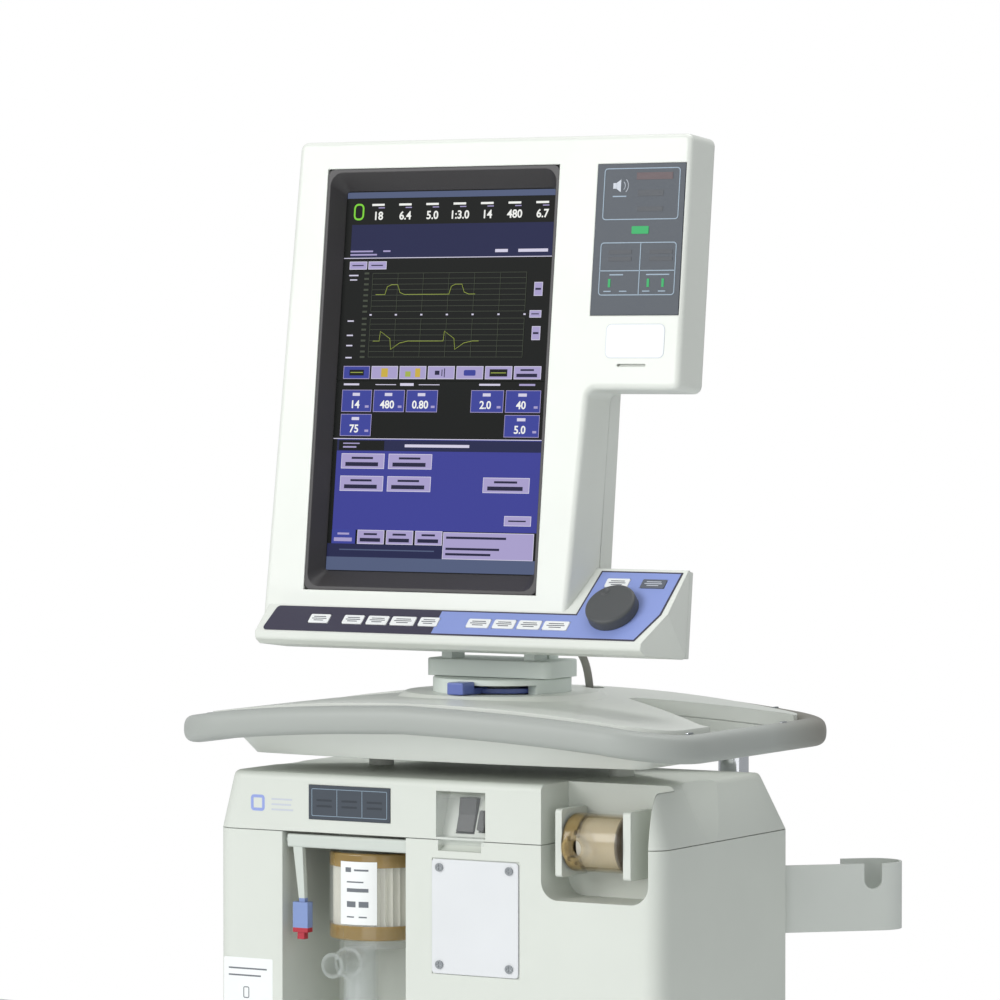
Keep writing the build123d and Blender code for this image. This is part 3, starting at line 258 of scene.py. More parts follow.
print("finishes")
finish = {
    "unit": moulded("unitPlastic", "#d6dad2", 0.5, grain=1500, depth=0.2),
    "white": moulded("whitePlastic", "#e0e3dc", 0.38, grain=1200, depth=0.06, edge=0.0015, coat=0.15),
    "plate": moulded("powderedPlate", "#dddfe1", 0.5, grain=2200, depth=0.2),
    "screw": moulded("screwSteel", "#a7abae", 0.3, grain=700, depth=0.08, metal=1.0, edge=0.0002),
    "sheet": moulded("platedSheet", "#d6dad4", 0.42, grain=900, depth=0.06, drift=0.05, edge=0.0006),
    "print": moulded("printedFilm", "#3b434d", 0.45, grain=900, depth=0.04),
    "printLine": moulded("printedLine", "#8fa3b4", 0.4, grain=900, depth=0.02, edge=0),
    "printDim": moulded("printedDim", "#2b323b", 0.4, grain=900, depth=0.02, edge=0),
    "black": moulded("blackPlastic", "#17171b", 0.4, grain=1200, depth=0.1),
    "clear": seeThrough("clearPlastic", "#dfe5e3", 0.24, 0.08),
    "guard": seeThrough("guardPlastic", "#e6ebea", 0.07, 0.06),
    "filterWall": seeThroughBands("filterWall", "Z", [(0.8155, "#a98c52", 0.62), (0.8655, "#e9ebe4", 0.2),
                                                      (0.9, "#a98c52", 0.68)]),
    "drumWall": seeThroughBands("drumWall", "X", [(0.1275, "#4c3f2a", 0.7), (0.1395, "#b9a06a", 0.42),
                                                  (0.1425, "#4c3f2a", 0.6), (0.1765, "#b9a474", 0.3),
                                                  (0.19, "#4c3f2a", 0.65)]),
    "paper": moulded("pleatedPaper", "#f1eee2", 0.8, grain=1600, depth=0.4, drift=0.08, edge=0),
    "latch": bandedUp("latchPlastic", [(0.8115, "#b02a3a"), (0.837, "#7f93c4"), (0.9, "#c9cfc8")]),
    "alloy": moulded("machinedAlloy", "#a2a4a6", 0.34, grain=700, depth=0.1, metal=1.0),
    "rail": railRubber(),
    "collar": moulded("collarPlastic", "#e0e8e2", 0.45, grain=1300, depth=0.1),
    "lever": moulded("leverPlastic", "#6272b8", 0.35, grain=1100, depth=0.06, coat=0.2),
    "cable": moulded("cableJacket", "#8b8a84", 0.55, grain=1500, depth=0.15, edge=0),
    "grille": moulded("grillePlastic", "#cdd1ca", 0.5, grain=1300, depth=0.15),
    "pump": moulded("castPump", "#5c5d60", 0.6, grain=500, depth=0.5, metal=0.6),
    "battery": moulded("batteryCase", "#cdd1cb", 0.5, grain=1500, depth=0.2),
    "chrome": moulded("polishedTube", "#e4e6ea", 0.1, grain=90, depth=0.01, metal=1.0, edge=0),
    "deck": moulded("steelDeck", "#5b5d60", 0.5, grain=1300, depth=0.2, metal=0.3),
    "bezel": moulded("bezelPlastic", "#3a3839", 0.42, grain=1300, depth=0.12, edge=0.0012),
    "board": moulded("boardLaminate", "#1f5a36", 0.35, grain=600, depth=0.1),
    "knob": moulded("knobRubber", "#4a4c4d", 0.5, grain=1600, depth=0.15, edge=0.0012),
    "key": moulded("keyPlastic", "#eceeed", 0.4, grain=1200, depth=0.05, edge=0.0004),
    "keyDark": moulded("darkKeyPlastic", "#5d626c", 0.4, grain=1200, depth=0.05, edge=0.0004),
    "keyPrint": moulded("keyPrint", "#50545c", 0.5, grain=1200, depth=0.02, edge=0),
    "keyPrintPale": moulded("keyPrintPale", "#c6cbd4", 0.5, grain=1200, depth=0.02, edge=0),
    "strip": moulded("stripFilm", "#3a3749", 0.36, grain=900, depth=0.03, edge=0, coat=0.1),
    "film": moulded("controlFilm", "#8898d2", 0.36, grain=900, depth=0.03, edge=0, coat=0.1),
    "fork": moulded("forkPlastic", "#7d8083", 0.5, grain=1200, depth=0.15),
    "tread": moulded("treadRubber", "#4a4b4d", 0.7, grain=900, depth=0.4),
    "labelPaper": moulded("labelPaper", "#f0f2f1", 0.55, grain=1900, depth=0.08, edge=0),
    "labelInk": moulded("labelInk", "#6d7278", 0.6, grain=1900, depth=0.02, edge=0),
    "emblem": moulded("emblemFilm", "#93a2dc", 0.45, grain=1000, depth=0.03, edge=0),
    "screenBlack": glowing("screenBlack", "#101311", 0.8),
    "screenNavy": glowing("screenNavy", "#23274e", 0.9),
    "screenDusk": glowing("screenDusk", "#5a6688", 0.8),
    "screenBlue": glowing("screenBlue", "#3d459e", 0.9),
    "screenSetting": glowing("screenSetting", "#3e429a", 0.9),
    "screenLilac": glowing("screenLilac", "#b3a9d8", 0.85),
    "screenLight": glowing("screenLight", "#dcd8ee", 0.9),
    "screenWhite": glowing("screenWhite", "#f1f2ee", 1.0),
    "screenInk": glowing("screenInk", "#2a2a4e", 0.6),
    "screenGrid": glowing("screenGrid", "#454b3f", 1.0),
    "screenTrace": glowing("screenTrace", "#9aa84c", 1.1),
    "screenGreen": glowing("screenGreen", "#7fd23c", 1.0),
    "screenAmber": glowing("screenAmber", "#d0b347", 0.9),
    "lampGreen": glowing("lampGreen", "#4fc07a", 0.9),
    "lampOff": moulded("lampOff", "#4a3338", 0.4, grain=900, depth=0.02, edge=0),
}

cadFinish = {
    "unit": ("unit_housing", "unit_top_cover", "unit_rear_panel", "insp_cradle", "compressor_cabinet", "base_cover"),
    "white": ("front_housing", "rear_housing", "handle_upper_shell", "handle_lower_shell"),
    "plate": ("blank_plate",),
    "screw": ("plate_screws",),
    "sheet": ("hose_bracket",),
    "print": ("unit_status_panel", "alarm_status_panel"),
    "black": ("power_rocker", "breaker_button"),
    "clear": ("collector_vial",),
    "guard": ("switch_guard",),
    "filterWall": ("exp_filter_shell",),
    "drumWall": ("insp_filter_shell",),
    "paper": ("filter_media",),
    "latch": ("filter_latch",),
    "alloy": ("gas_block",),
    "rail": ("handle_rail",),
    "collar": ("turntable_ring", "swivel_collar"),
    "lever": ("lock_lever",),
    "cable": ("display_cable",),
    "grille": ("compressor_grille",),
    "pump": ("compressor_pump",),
    "battery": ("battery_pack",),
    "chrome": ("rear_posts",),
    "deck": ("base_frame",),
    "bezel": ("screen_surround",),
    "screenBlack": ("display_panels",),
    "board": ("display_board",),
    "knob": ("control_knob",),
    "strip": ("console_overlay",),
    "keyDark": ("accept_key",),
    "fork": ("fork_front_left", "fork_front_right", "fork_rear_left", "fork_rear_right",
             "pedal_front_left", "pedal_front_right"),
    "tread": ("wheel_front_left", "wheel_front_right", "wheel_rear_left", "wheel_rear_right"),
}
keyNames = [name for name in frame["nodes"] if name.endswith("_key")]
for finishName, names in list(cadFinish.items()) + [("key", [n for n in keyNames if n != "accept_key"])]:
    for name in names:
        frame["nodes"][name].data.materials.clear()
        frame["nodes"][name].data.materials.append(finish[finishName])


# camera, light and floor
print("camera and light")
shot = {"place": (2.160, -3.7412, 1.3037), "down": 1.654, "turn": 30.0, "lens": 180.0, "sensor": 36.0}


def makeCamera():
    bpy.ops.object.camera_add(location=shot["place"],
                              rotation=(math.radians(90 - shot["down"]), 0, math.radians(shot["turn"])))
    camera = bpy.context.object
    camera.data.lens = shot["lens"]
    camera.data.sensor_width = shot["sensor"]
    camera.data.clip_end = 60
    bpy.context.scene.camera = camera


def makeLight(name, place, target, size, power, colour=(1, 1, 1)):
    bpy.ops.object.light_add(type="AREA", location=place)
    light = bpy.context.object
    light.name = name
    light.rotation_euler = (Vector(target) - Vector(place)).to_track_quat("-Z", "Y").to_euler()
    light.data.size = size
    light.data.energy = power
    light.data.color = colour


def makeWorld():
    world = bpy.data.worlds.new("studio")
    bpy.context.scene.world = world
    world.use_nodes = True
    tree = world.node_tree
    tree.nodes.clear()
    soft = node(tree, "ShaderNodeBackground", {"Color": (0.95, 0.98, 1.0, 1.0), "Strength": 0.42})
    seen = node(tree, "ShaderNodeBackground", {"Color": (1, 1, 1, 1), "Strength": 1.0})
    ray = node(tree, "ShaderNodeLightPath")
    either = node(tree, "ShaderNodeMixShader")
    out = node(tree, "ShaderNodeOutputWorld")
    tree.links.new(ray.outputs["Is Camera Ray"], either.inputs[0])
    tree.links.new(soft.outputs[0], either.inputs[1])
    tree.links.new(seen.outputs[0], either.inputs[2])
    tree.links.new(either.outputs[0], out.inputs["Surface"])


makeCamera()
makeWorld()
makeLight("keyLight", (-2.6, -5.2, 3.5), (0, 0, 1.1), 3.2, 215)
makeLight("fillLight", (3.2, -2.2, 1.6), (0, 0, 1.0), 2.4, 14)
makeLight("lowLight", (0.6, -4.0, 0.5), (0, 0, 0.9), 2.4, 26)
makeLight("topLight", (0.2, 0.6, 3.6), (0, 0, 1.0), 2.0, 38)
bpy.context.scene.view_settings.view_transform = "Standard"
bpy.ops.mesh.primitive_plane_add(size=9, location=(0, 0, 0))
floor = bpy.context.object
floor.name = "floor"
floor.data.materials.append(moulded("paleFloor", "#eceeee", 0.7, grain=30, depth=0.02, edge=0))


# the cable between display and breathing unit
print("cable")
cable = {"radius": 3.5 * mm, "route": [
    (0.030, 0.045, 1.052), (0.030, 0.063, 1.052), (0.030, 0.084, 1.048), (0.029, 0.101, 1.034), (0.028, 0.110, 1.013),
    (0.027, 0.114, 0.990), (0.027, 0.117, 0.966), (0.024, 0.124, 0.943), (0.020, 0.131, 0.918), (0.020, 0.131, 0.896)]}


def makeCable():
    line = bpy.data.curves.new("cable_line", "CURVE")
    line.dimensions = "3D"
    spline = line.splines.new("NURBS")
    spline.points.add(len(cable["route"]) - 1)
    for point, place in zip(spline.points, cable["route"]):
        point.co = (*place, 1.0)
    spline.order_u = 3
    spline.use_endpoint_u = True
    spline.resolution_u = 10
    line.bevel_depth = cable["radius"]
    line.bevel_resolution = 6
    line.use_fill_caps = True
    piece = bpy.data.objects.new("display_cable_flex", line)
    bpy.context.scene.collection.objects.link(piece)
    only(piece)
    bpy.ops.object.convert(target="MESH")
    piece = bpy.context.object
    piece.data.materials.append(finish["cable"])
    bpy.ops.object.shade_smooth_by_angle(angle=math.radians(40))
    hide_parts("display_cable")
    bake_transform(piece)


makeCable()


# handle rail: a soft grip swept round the tray
print("handle")
handle = {"halfWidth": 241.5 * mm, "front": -159.5 * mm, "back": 147.5 * mm, "frontRound": 57.5 * mm,
          "backRound": 25.5 * mm, "frontBow": 12 * mm, "backBow": 8 * mm, "middle": 998.5 * mm, "drop": 21.5 * mm,
          "span": 254 * mm, "gripWide": 12.45 * mm, "gripHigh": 12 * mm}


def railHeight(x):
    return handle["middle"] - handle["drop"] * (x / handle["span"]) ** 2


def railPoint(x, y, left, right):  # a curve point with its two handles, all on the rail's arch
    return [(px, py, railHeight(px)) for px, py in (left, (x, y), right)]


def makeRail():
    w, f, b = handle["halfWidth"], handle["front"], handle["back"]
    rf, rb, bf, bb = handle["frontRound"], handle["backRound"], handle["frontBow"], handle["backBow"]
    k = 0.5523                       # handle length of a quarter circle
    half = [
        railPoint(w - rf, f + bf, (w - rf - 60 * mm, f + bf * 0.45), (w - rf + k * rf, f + bf)),
        railPoint(w, f + bf + rf, (w, f + bf + rf - k * rf), (w, f + bf + rf + 50 * mm)),
        railPoint(w, b - bb - rb, (w, b - bb - rb - 50 * mm), (w, b - bb - rb + k * rb)),
        railPoint(w - rb, b - bb, (w - rb + k * rb, b - bb), (w - rb - 60 * mm, b - bb * 0.55)),
    ]
    other = [[(-x, y, z) for x, y, z in reversed(point)] for point in reversed(half)]
    middleFront = [railPoint(0, f, (-80 * mm, f), (80 * mm, f))]
    middleBack = [railPoint(0, b, (80 * mm, b), (-80 * mm, b))]
    points = middleFront + half + middleBack + other
    line = bpy.data.curves.new("rail_line", "CURVE")
    line.dimensions = "3D"
    line.twist_mode = "Z_UP"
    spline = line.splines.new("BEZIER")
    spline.bezier_points.add(len(points) - 1)
    for target, (before, place, after) in zip(spline.bezier_points, points):
        target.handle_left_type = target.handle_right_type = "FREE"
        target.co, target.handle_left, target.handle_right = place, before, after
    spline.use_cyclic_u = True
    spline.resolution_u = 20
    bpy.ops.curve.primitive_bezier_circle_add(radius=1.0, location=(0, 0, 0))
    section = bpy.context.object
    for point in section.data.splines[0].bezier_points:      # squarer than a circle
        for side in ("handle_left", "handle_right"):
            point.handle_left_type = point.handle_right_type = "FREE"
        point.handle_left = point.co + (point.handle_left - point.co) * 1.32
        point.handle_right = point.co + (point.handle_right - point.co) * 1.32
    section.scale = (handle["gripWide"], handle["gripHigh"], 1)
    line.bevel_mode = "OBJECT"
    line.bevel_object = section
    piece = bpy.data.objects.new("rail_grip", line)
    bpy.context.scene.collection.objects.link(piece)
    only(piece)
    bpy.ops.object.convert(target="MESH")
    piece = bpy.context.object
    bpy.data.objects.remove(section)
    piece.data.materials.append(finish["rail"])
    edit(piece)
    bpy.ops.mesh.select_all(action="SELECT")
    bpy.ops.mesh.remove_doubles(threshold=1e-6)
    bpy.ops.mesh.normals_make_consistent(inside=False)
    bpy.ops.object.mode_set(mode="OBJECT")
    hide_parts("handle_rail")
    finished(piece, "cart", 60)


makeRail()


# the display leans on its tilt pin; its pieces are laid out upright about that pin
print("display")
leanBack = 6.5
pin = Vector(joints["display_tilt"]["pos_m"])
displayPlace = Matrix.Translation(pin) @ Matrix.Rotation(math.radians(-leanBack), 4, "X")
panelSteep = 50.0
display = {"front": -71 * mm, "screenMiddle": (-36.5 * mm, 215 * mm), "screenSize": (208 * mm, 330 * mm),
           "screenDepth": -55.0 * mm, "alarm": (116.5 * mm, 201 * mm, 269 * mm, 398 * mm), "tile": 0.12 * mm}


def facingFront(depth):  # flat work drawn as x, z on a plane that looks forwards
    return displayPlace @ Matrix.Translation((0, depth, 0)) @ Matrix.Rotation(math.radians(90), 4, "X")


def flat(x0, x1, z0, z1, surface, lift=0.0, corner=0.0, rim=0.0, rimFinish=None, hollow=False, thick=None):
    bpy.ops.mesh.primitive_plane_add(size=1, location=((x0 + x1) / 2, (z0 + z1) / 2, lift))
    piece = bpy.context.object
    piece.scale = (x1 - x0, z1 - z0, 1)
    settle(piece)
    piece.data.materials.append(finish[surface])
    if rimFinish:
        piece.data.materials.append(finish[rimFinish])
    edit(piece, "VERT")
    if corner:
        bpy.ops.mesh.select_all(action="SELECT")
        bpy.ops.mesh.bevel(offset=corner, segments=4, affect="VERTICES")
    bpy.ops.mesh.select_mode(type="FACE")
    bpy.ops.mesh.select_all(action="SELECT")
    if rim:
        bpy.ops.mesh.inset(thickness=rim, use_boundary=True)
        if hollow:
            bpy.ops.mesh.delete(type="FACE")
        elif rimFinish:
            bpy.ops.mesh.select_all(action="INVERT")
            piece.active_material_index = 1
            bpy.ops.object.material_slot_assign()
    bpy.ops.mesh.select_all(action="SELECT")
    bpy.ops.mesh.extrude_region_move(TRANSFORM_OT_translate={"value": (0, 0, thick or display["tile"])})
    bpy.ops.mesh.select_all(action="SELECT")
    bpy.ops.mesh.normals_make_consistent(inside=False)
    bpy.ops.object.mode_set(mode="OBJECT")
    return piece


def number(words, x, z, tall, surface, lift=0.0, align="CENTER"):
    bpy.ops.object.text_add(location=(x, z, lift))
    piece = bpy.context.object
    piece.data.body = words
    piece.data.size = tall * 1.38
    piece.data.align_x = align
    piece.data.align_y = "CENTER"
    piece.data.extrude = display["tile"] / 2
    piece.data.offset = tall * 0.03
    piece.data.resolution_u = 3
    only(piece)
    bpy.ops.object.convert(target="MESH")
    piece = bpy.context.object
    settle(piece)
    piece.data.materials.clear()
    piece.data.materials.append(finish[surface])
    return piece


def trace(points, surface, wide, lift=0.0):  # a drawn line on the screen
    line = bpy.data.curves.new("trace", "CURVE")
    line.dimensions = "3D"
    spline = line.splines.new("POLY")
    spline.points.add(len(points) - 1)
    for target, (x, z) in zip(spline.points, points):
        target.co = (x, z, lift, 1.0)
    line.bevel_depth = wide / 2
    line.bevel_resolution = 1
    piece = bpy.data.objects.new("trace", line)
    bpy.context.scene.collection.objects.link(piece)
    only(piece)
    bpy.ops.object.convert(target="MESH")
    piece = bpy.context.object
    piece.data.materials.clear()
    piece.data.materials.append(finish[surface])
    return piece


def screenX(share):
    return display["screenMiddle"][0] + (share - 0.5) * display["screenSize"][0]


def screenZ(share):  # shares run down the screen
    return display["screenMiddle"][1] + (0.5 - share) * display["screenSize"][1]


def area(u0, u1, v0, v1, surface, lift=0, **more):
    return flat(screenX(u0), screenX(u1), screenZ(v1), screenZ(v0), surface, lift * display["tile"], **more)


def button(u0, u1, v0, v1, bars=2, surface="screenLilac", rimFinish="screenLight", ink="screenInk"):
    made = [area(u0, u1, v0, v1, surface, 2, rim=0.5 * mm, rimFinish=rimFinish)]
    wide, tall = u1 - u0, v1 - v0
    for bar in range(bars):
        share = (0.26, 0.4)[bar % 2] if bars > 1 else 0.34
        middle = v0 + tall * (bar + 0.72) / (bars + 0.44)
        thick = tall * (0.07, 0.13)[bar % 2]
        made.append(area((u0 + u1) / 2 - wide * share, (u0 + u1) / 2 + wide * share * 0.9, middle - thick, middle + thick, ink, 3))
    return made


def settingBox(u0, u1, v0, v1, words):
    made = [area(u0, u1, v0, v1, "screenBlue", 2, rim=0.45 * mm, rimFinish="screenLilac")]
    tall = screenZ(v0) - screenZ(v1)
    middle = screenX(u0 * 0.55 + u1 * 0.45)
    made.append(number(words, middle, screenZ(v1) + tall * 0.32, tall * 0.36, "screenWhite", 3 * display["tile"]))
    made.append(area(u0 + (u1 - u0) * 0.36, u0 + (u1 - u0) * 0.6, v0 + 0.008, v0 + 0.016, "screenLight", 3))
    made.append(area(u1 - 0.03, u1 - 0.012, v1 - 0.017, v1 - 0.011, "screenLilac", 3))
    return made


def upperScreen():
    made = [area(0.0, 1.0, 0.0, 0.016, "screenDusk", 1), area(0.03, 1.0, 0.086, 0.174, "screenNavy", 1),
            area(0.0, 1.0, 0.174, 0.176, "screenLight", 1)]
    readings = ("18", "6.4", "5.0", "1:3.0", "14", "480", "6.7")
    for k, words in enumerate(readings):
        middle = 0.155 + k * 0.1315
        made.append(number(words, screenX(middle), screenZ(0.064), 7.2 * mm, "screenWhite", display["tile"]))
        made.append(area(middle - 0.032, middle + 0.028, 0.031, 0.0365, "screenWhite", 1))
        made.append(area(middle + 0.0, middle + 0.03, 0.0405, 0.043, "screenLilac", 1))
    made.append(area(0.035, 0.085, 0.03, 0.074, "screenGreen", 1, corner=4.2 * mm, rim=1.6 * mm, hollow=True))
    made += [area(0.03, 0.14, 0.155, 0.159, "screenLilac", 2), area(0.03, 0.16, 0.164, 0.168, "screenLilac", 2),
             area(0.19, 0.225, 0.155, 0.159, "screenLilac", 2), area(0.73, 0.79, 0.155, 0.163, "screenLight", 2),
             area(0.84, 0.98, 0.155, 0.163, "screenLight", 2)]
    made += button(0.03, 0.115, 0.184, 0.205, 1) + button(0.122, 0.21, 0.184, 0.205, 1)
    graphLeft, graphRight = 0.145, 0.885
    for top, rows in ((0.215, 8), (0.335, 8)):
        for row in range(rows):
            v = top + row * 0.0145
            made.append(area(graphLeft, graphRight, v, v + 0.0012, "screenGrid", 1))
            made.append(area(0.105, 0.128, v - 0.002, v + 0.003, "screenGrid", 1))
        for column in range(7):
            u = graphLeft + column * (graphRight - graphLeft) / 6
            made.append(area(u, u + 0.0018, top, top + 0.1015, "screenGrid", 1))
    for column in range(7):
        u = graphLeft + column * (graphRight - graphLeft) / 6
        made.append(area(u - 0.004, u + 0.006, 0.3235, 0.3275, "screenLight", 1))
    made += [area(0.03, 0.075, 0.219, 0.2225, "screenLight", 1), area(0.035, 0.07, 0.231, 0.234, "screenLight", 1)]
    for v in (0.34, 0.378, 0.405, 0.437):
        made.append(area(0.035, 0.065, v, v + 0.0035, "screenLight", 1))
    for v, tall, left in ((0.242, 0.036, 0.925), (0.3155, 0.019, 0.91), (0.357, 0.036, 0.925)):
        made += button(left, 0.965, v, v + tall, 1)
    breath = [(0.0, 0), (0.045, 0), (0.055, 0.8), (0.075, 1.0), (0.105, 1.0), (0.118, 0.2), (0.14, 0)]
    flow = [(0.0, 0), (0.03, 0), (0.034, 1.0), (0.082, 0.25), (0.088, -0.85), (0.13, -0.2), (0.17, 0), (0.2, 0)]
    for wave, base, tall in ((breath, 0.272, 0.026), (flow, 0.395, 0.026)):
        line = [(screenX(graphLeft + 0.02 + shift + u), screenZ(base - tall * v)) for shift in (0, 0.31) for u, v in wave]
        made.append(trace(line + [(screenX(graphLeft + 0.5), screenZ(base))], "screenTrace", 0.45 * mm, 2 * display["tile"]))
    for k in range(7):
        left = 0.03 + k * 0.137
        if k == 0:
            made += button(left, left + 0.128, 0.461, 0.495, 0, "screenBlue", "screenLilac")
            made.append(area(left + 0.03, left + 0.1, 0.471, 0.486, "screenBlack", 3))
            made.append(area(left + 0.035, left + 0.095, 0.477, 0.479, "screenTrace", 4))
        else:
            made += button(left, left + 0.128, 0.461, 0.495, (0, 0, 0, 0, 0, 0, 2)[k])
    middle = [0.03 + k * 0.137 + 0.064 for k in range(7)]
    made += [area(middle[1] - 0.016, middle[1] + 0.016, 0.467, 0.49, "screenAmber", 3),
             area(middle[2] + 0.012, middle[2] + 0.036, 0.467, 0.49, "screenAmber", 3),
             area(middle[2] - 0.036, middle[2] - 0.01, 0.475, 0.489, "screenTrace", 3),
             area(middle[3] - 0.03, middle[3] - 0.008, 0.473, 0.484, "screenInk", 3),
             area(middle[3] + 0.002, middle[3] + 0.006, 0.47, 0.487, "screenInk", 3),
             area(middle[3] + 0.014, middle[3] + 0.018, 0.467, 0.49, "screenInk", 3),
             area(middle[4] - 0.028, middle[4] + 0.028, 0.471, 0.486, "screenBlue", 3, corner=1.2 * mm),
             area(middle[5] - 0.042, middle[5] + 0.042, 0.469, 0.488, "screenBlack", 3),
             area(middle[5] - 0.036, middle[5] + 0.036, 0.4775, 0.4795, "screenTrace", 4)]
    return made


def lowerScreen():
    made = [area(0.035, 0.11, 0.507, 0.512, "screenLight", 1), area(0.19, 0.29, 0.509, 0.511, "screenLight", 1),
            area(0.31, 0.375, 0.506, 0.513, "screenLight", 1), area(0.4, 0.5, 0.509, 0.511, "screenLight", 1),
            area(0.69, 0.79, 0.507, 0.512, "screenLight", 1), area(0.88, 0.955, 0.507, 0.512, "screenLilac", 1)]
    for u0, u1, v0, words in ((0.03, 0.175, 0.524, "14"), (0.185, 0.335, 0.524, "480"), (0.345, 0.495, 0.524, "0.80"),
                              (0.655, 0.81, 0.524, "2.0"), (0.82, 0.985, 0.524, "40"), (0.03, 0.18, 0.588, "75"),
                              (0.82, 0.985, 0.588, "5.0")):
        made += settingBox(u0, u1, v0, v0 + 0.058, words)
    made += [area(0.0, 1.0, 0.652, 0.654, "screenLight", 1), area(0.02, 1.0, 0.654, 0.893, "screenSetting", 1),
             area(0.02, 1.0, 0.656, 0.685, "screenNavy", 2), area(0.03, 0.25, 0.658, 0.683, "screenBlack", 3),
             area(0.05, 0.13, 0.664, 0.667, "screenLilac", 4), area(0.05, 0.115, 0.673, 0.677, "screenLilac", 4),
             area(0.35, 0.66, 0.667, 0.6745, "screenLight", 3), area(0.0, 0.56, 0.93, 0.965, "screenNavy", 1),
             area(0.06, 0.52, 0.944, 0.947, "screenDusk", 2), area(0.0, 1.0, 0.965, 1.0, "screenDusk", 1),
             area(0.56, 0.99, 0.895, 0.965, "screenLilac", 2, rim=0.5 * mm, rimFinish="screenLight")]
    for u0, u1, v0, bars in ((0.045, 0.255, 0.692, 2), (0.275, 0.485, 0.692, 2), (0.045, 0.255, 0.751, 2),
                             (0.275, 0.485, 0.751, 2), (0.735, 0.955, 0.751, 2)):
        made += button(u0, u1, v0, v0 + 0.04, bars)
    made += button(0.845, 0.972, 0.85, 0.876, 1)
    made += button(0.02, 0.135, 0.893, 0.93, 2, "screenBlue", "screenBlue", "screenLilac")
    for left in (0.145, 0.285, 0.425):
        made += button(left, left + 0.13, 0.893, 0.93, 2)
    for v, right in ((0.906, 0.86), (0.935, 0.83), (0.949, 0.79)):
        made.append(area(0.575, right, v, v + 0.006, "screenInk", 4))
    return made


def makeScreen():
    for name, work in (("upper_screen_image", upperScreen), ("lower_screen_image", lowerScreen)):
        piece = joined(work(), name)
        settle(piece, facingFront(display["screenDepth"]))
        finished(piece, "display", 30)


makeScreen()


def bars(spots, surface, tall, lift):
    return [flat(x0, x1, z - tall / 2, z + tall / 2, surface, lift) for x0, x1, z in spots]


def makeAlarmPanel():
    x0, x1, z0, z1 = display["alarm"]
    up = display["tile"]
    line = 0.8 * mm
    made = [flat(x0 + 7 * mm, x1 - 5 * mm, z1 - 48 * mm, z1 - 4 * mm, "printLine", up, corner=3 * mm, rim=line, hollow=True),
            flat(x0 + 7 * mm, x1 - 5 * mm, z0 + 17 * mm, z0 + 62 * mm, "printLine", up, corner=3 * mm, rim=line, hollow=True),
            flat(x0 + 7 * mm, x1 - 5 * mm, z0 + 37.5 * mm, z0 + 38.3 * mm, "printLine", up),
            flat(x0 + 45 * mm, x0 + 45.8 * mm, z0 + 17.5 * mm, z0 + 61.5 * mm, "printLine", up),
            flat(x0 + 36 * mm, x0 + 52 * mm, z1 - 60 * mm, z1 - 53.5 * mm, "lampGreen", up, corner=0.8 * mm, thick=0.5 * mm),
            flat(x0 + 38 * mm, x1 - 12 * mm, z1 - 14 * mm, z1 - 8 * mm, "lampOff", up),
            flat(x0 + 40 * mm, x1 - 20 * mm, z1 - 28 * mm, z1 - 23 * mm, "printDim", up),
            flat(x0 + 40 * mm, x1 - 20 * mm, z1 - 41 * mm, z1 - 37 * mm, "printDim", up)]
    for x in (x0 + 15 * mm, x0 + 54 * mm):
        made += [flat(x, x + 22 * mm, z, z + 3.4 * mm, "printDim", up) for z in (z0 + 52 * mm, z0 + 46 * mm)]
    made += bars([(x0 + 17 * mm, x0 + 30 * mm, z0 + 34.5 * mm), (x0 + 52 * mm, x0 + 74 * mm, z0 + 34.5 * mm)], "printLine", 1.0 * mm, up)
    made += bars([(x0 + x * mm, x0 + (x + 7) * mm, z0 + 20.5 * mm) for x in (12, 27, 49, 64)], "printLine", 0.9 * mm, up)
    for x in (16, 53, 67):
        made.append(flat(x0 + x * mm, x0 + (x + 2.2) * mm, z0 + 24 * mm, z0 + 31 * mm, "lampGreen", up, thick=0.3 * mm))
    speakerX, speakerZ = x0 + 16 * mm, z1 - 19 * mm
    made.append(flat(speakerX, speakerX + 3.4 * mm, speakerZ - 2.4 * mm, speakerZ + 2.4 * mm, "keyPrintPale", up))
    horn = flat(speakerX + 3 * mm, speakerX + 7.4 * mm, speakerZ - 2.4 * mm, speakerZ + 2.4 * mm, "keyPrintPale", up)
    for vertex in horn.data.vertices:
        if vertex.co.x > speakerX + 5 * mm:
            vertex.co.y += 3 * mm if vertex.co.y > speakerZ else -3 * mm
    made.append(horn)
    for reach in (4.5, 7.5):
        arc = [(speakerX + 7 * mm + reach * mm * math.cos(math.radians(a)), speakerZ + reach * mm * math.sin(math.radians(a)))
               for a in range(-45, 46, 15)]
        made.append(trace(arc, "keyPrintPale", 0.7 * mm, up))
    made += bars([(speakerX, speakerX + 13 * mm, speakerZ - 9 * mm)], "printLine", 1.0 * mm, up)
    piece = joined(made, "alarm_panel_print")
    settle(piece, facingFront(display["front"] - 0.5 * mm))
    finished(piece, "display", 30)
    badge = flat(133 * mm, 189 * mm, 233 * mm, 262 * mm, "labelPaper", 0, corner=5 * mm, rim=0.5 * mm, rimFinish="keyPrintPale",
                 thick=0.3 * mm)
    badge.name = badge.data.name = "blank_badge"
    settle(badge, facingFront(display["front"]))
    finished(badge, "display", 30)


makeAlarmPanel()


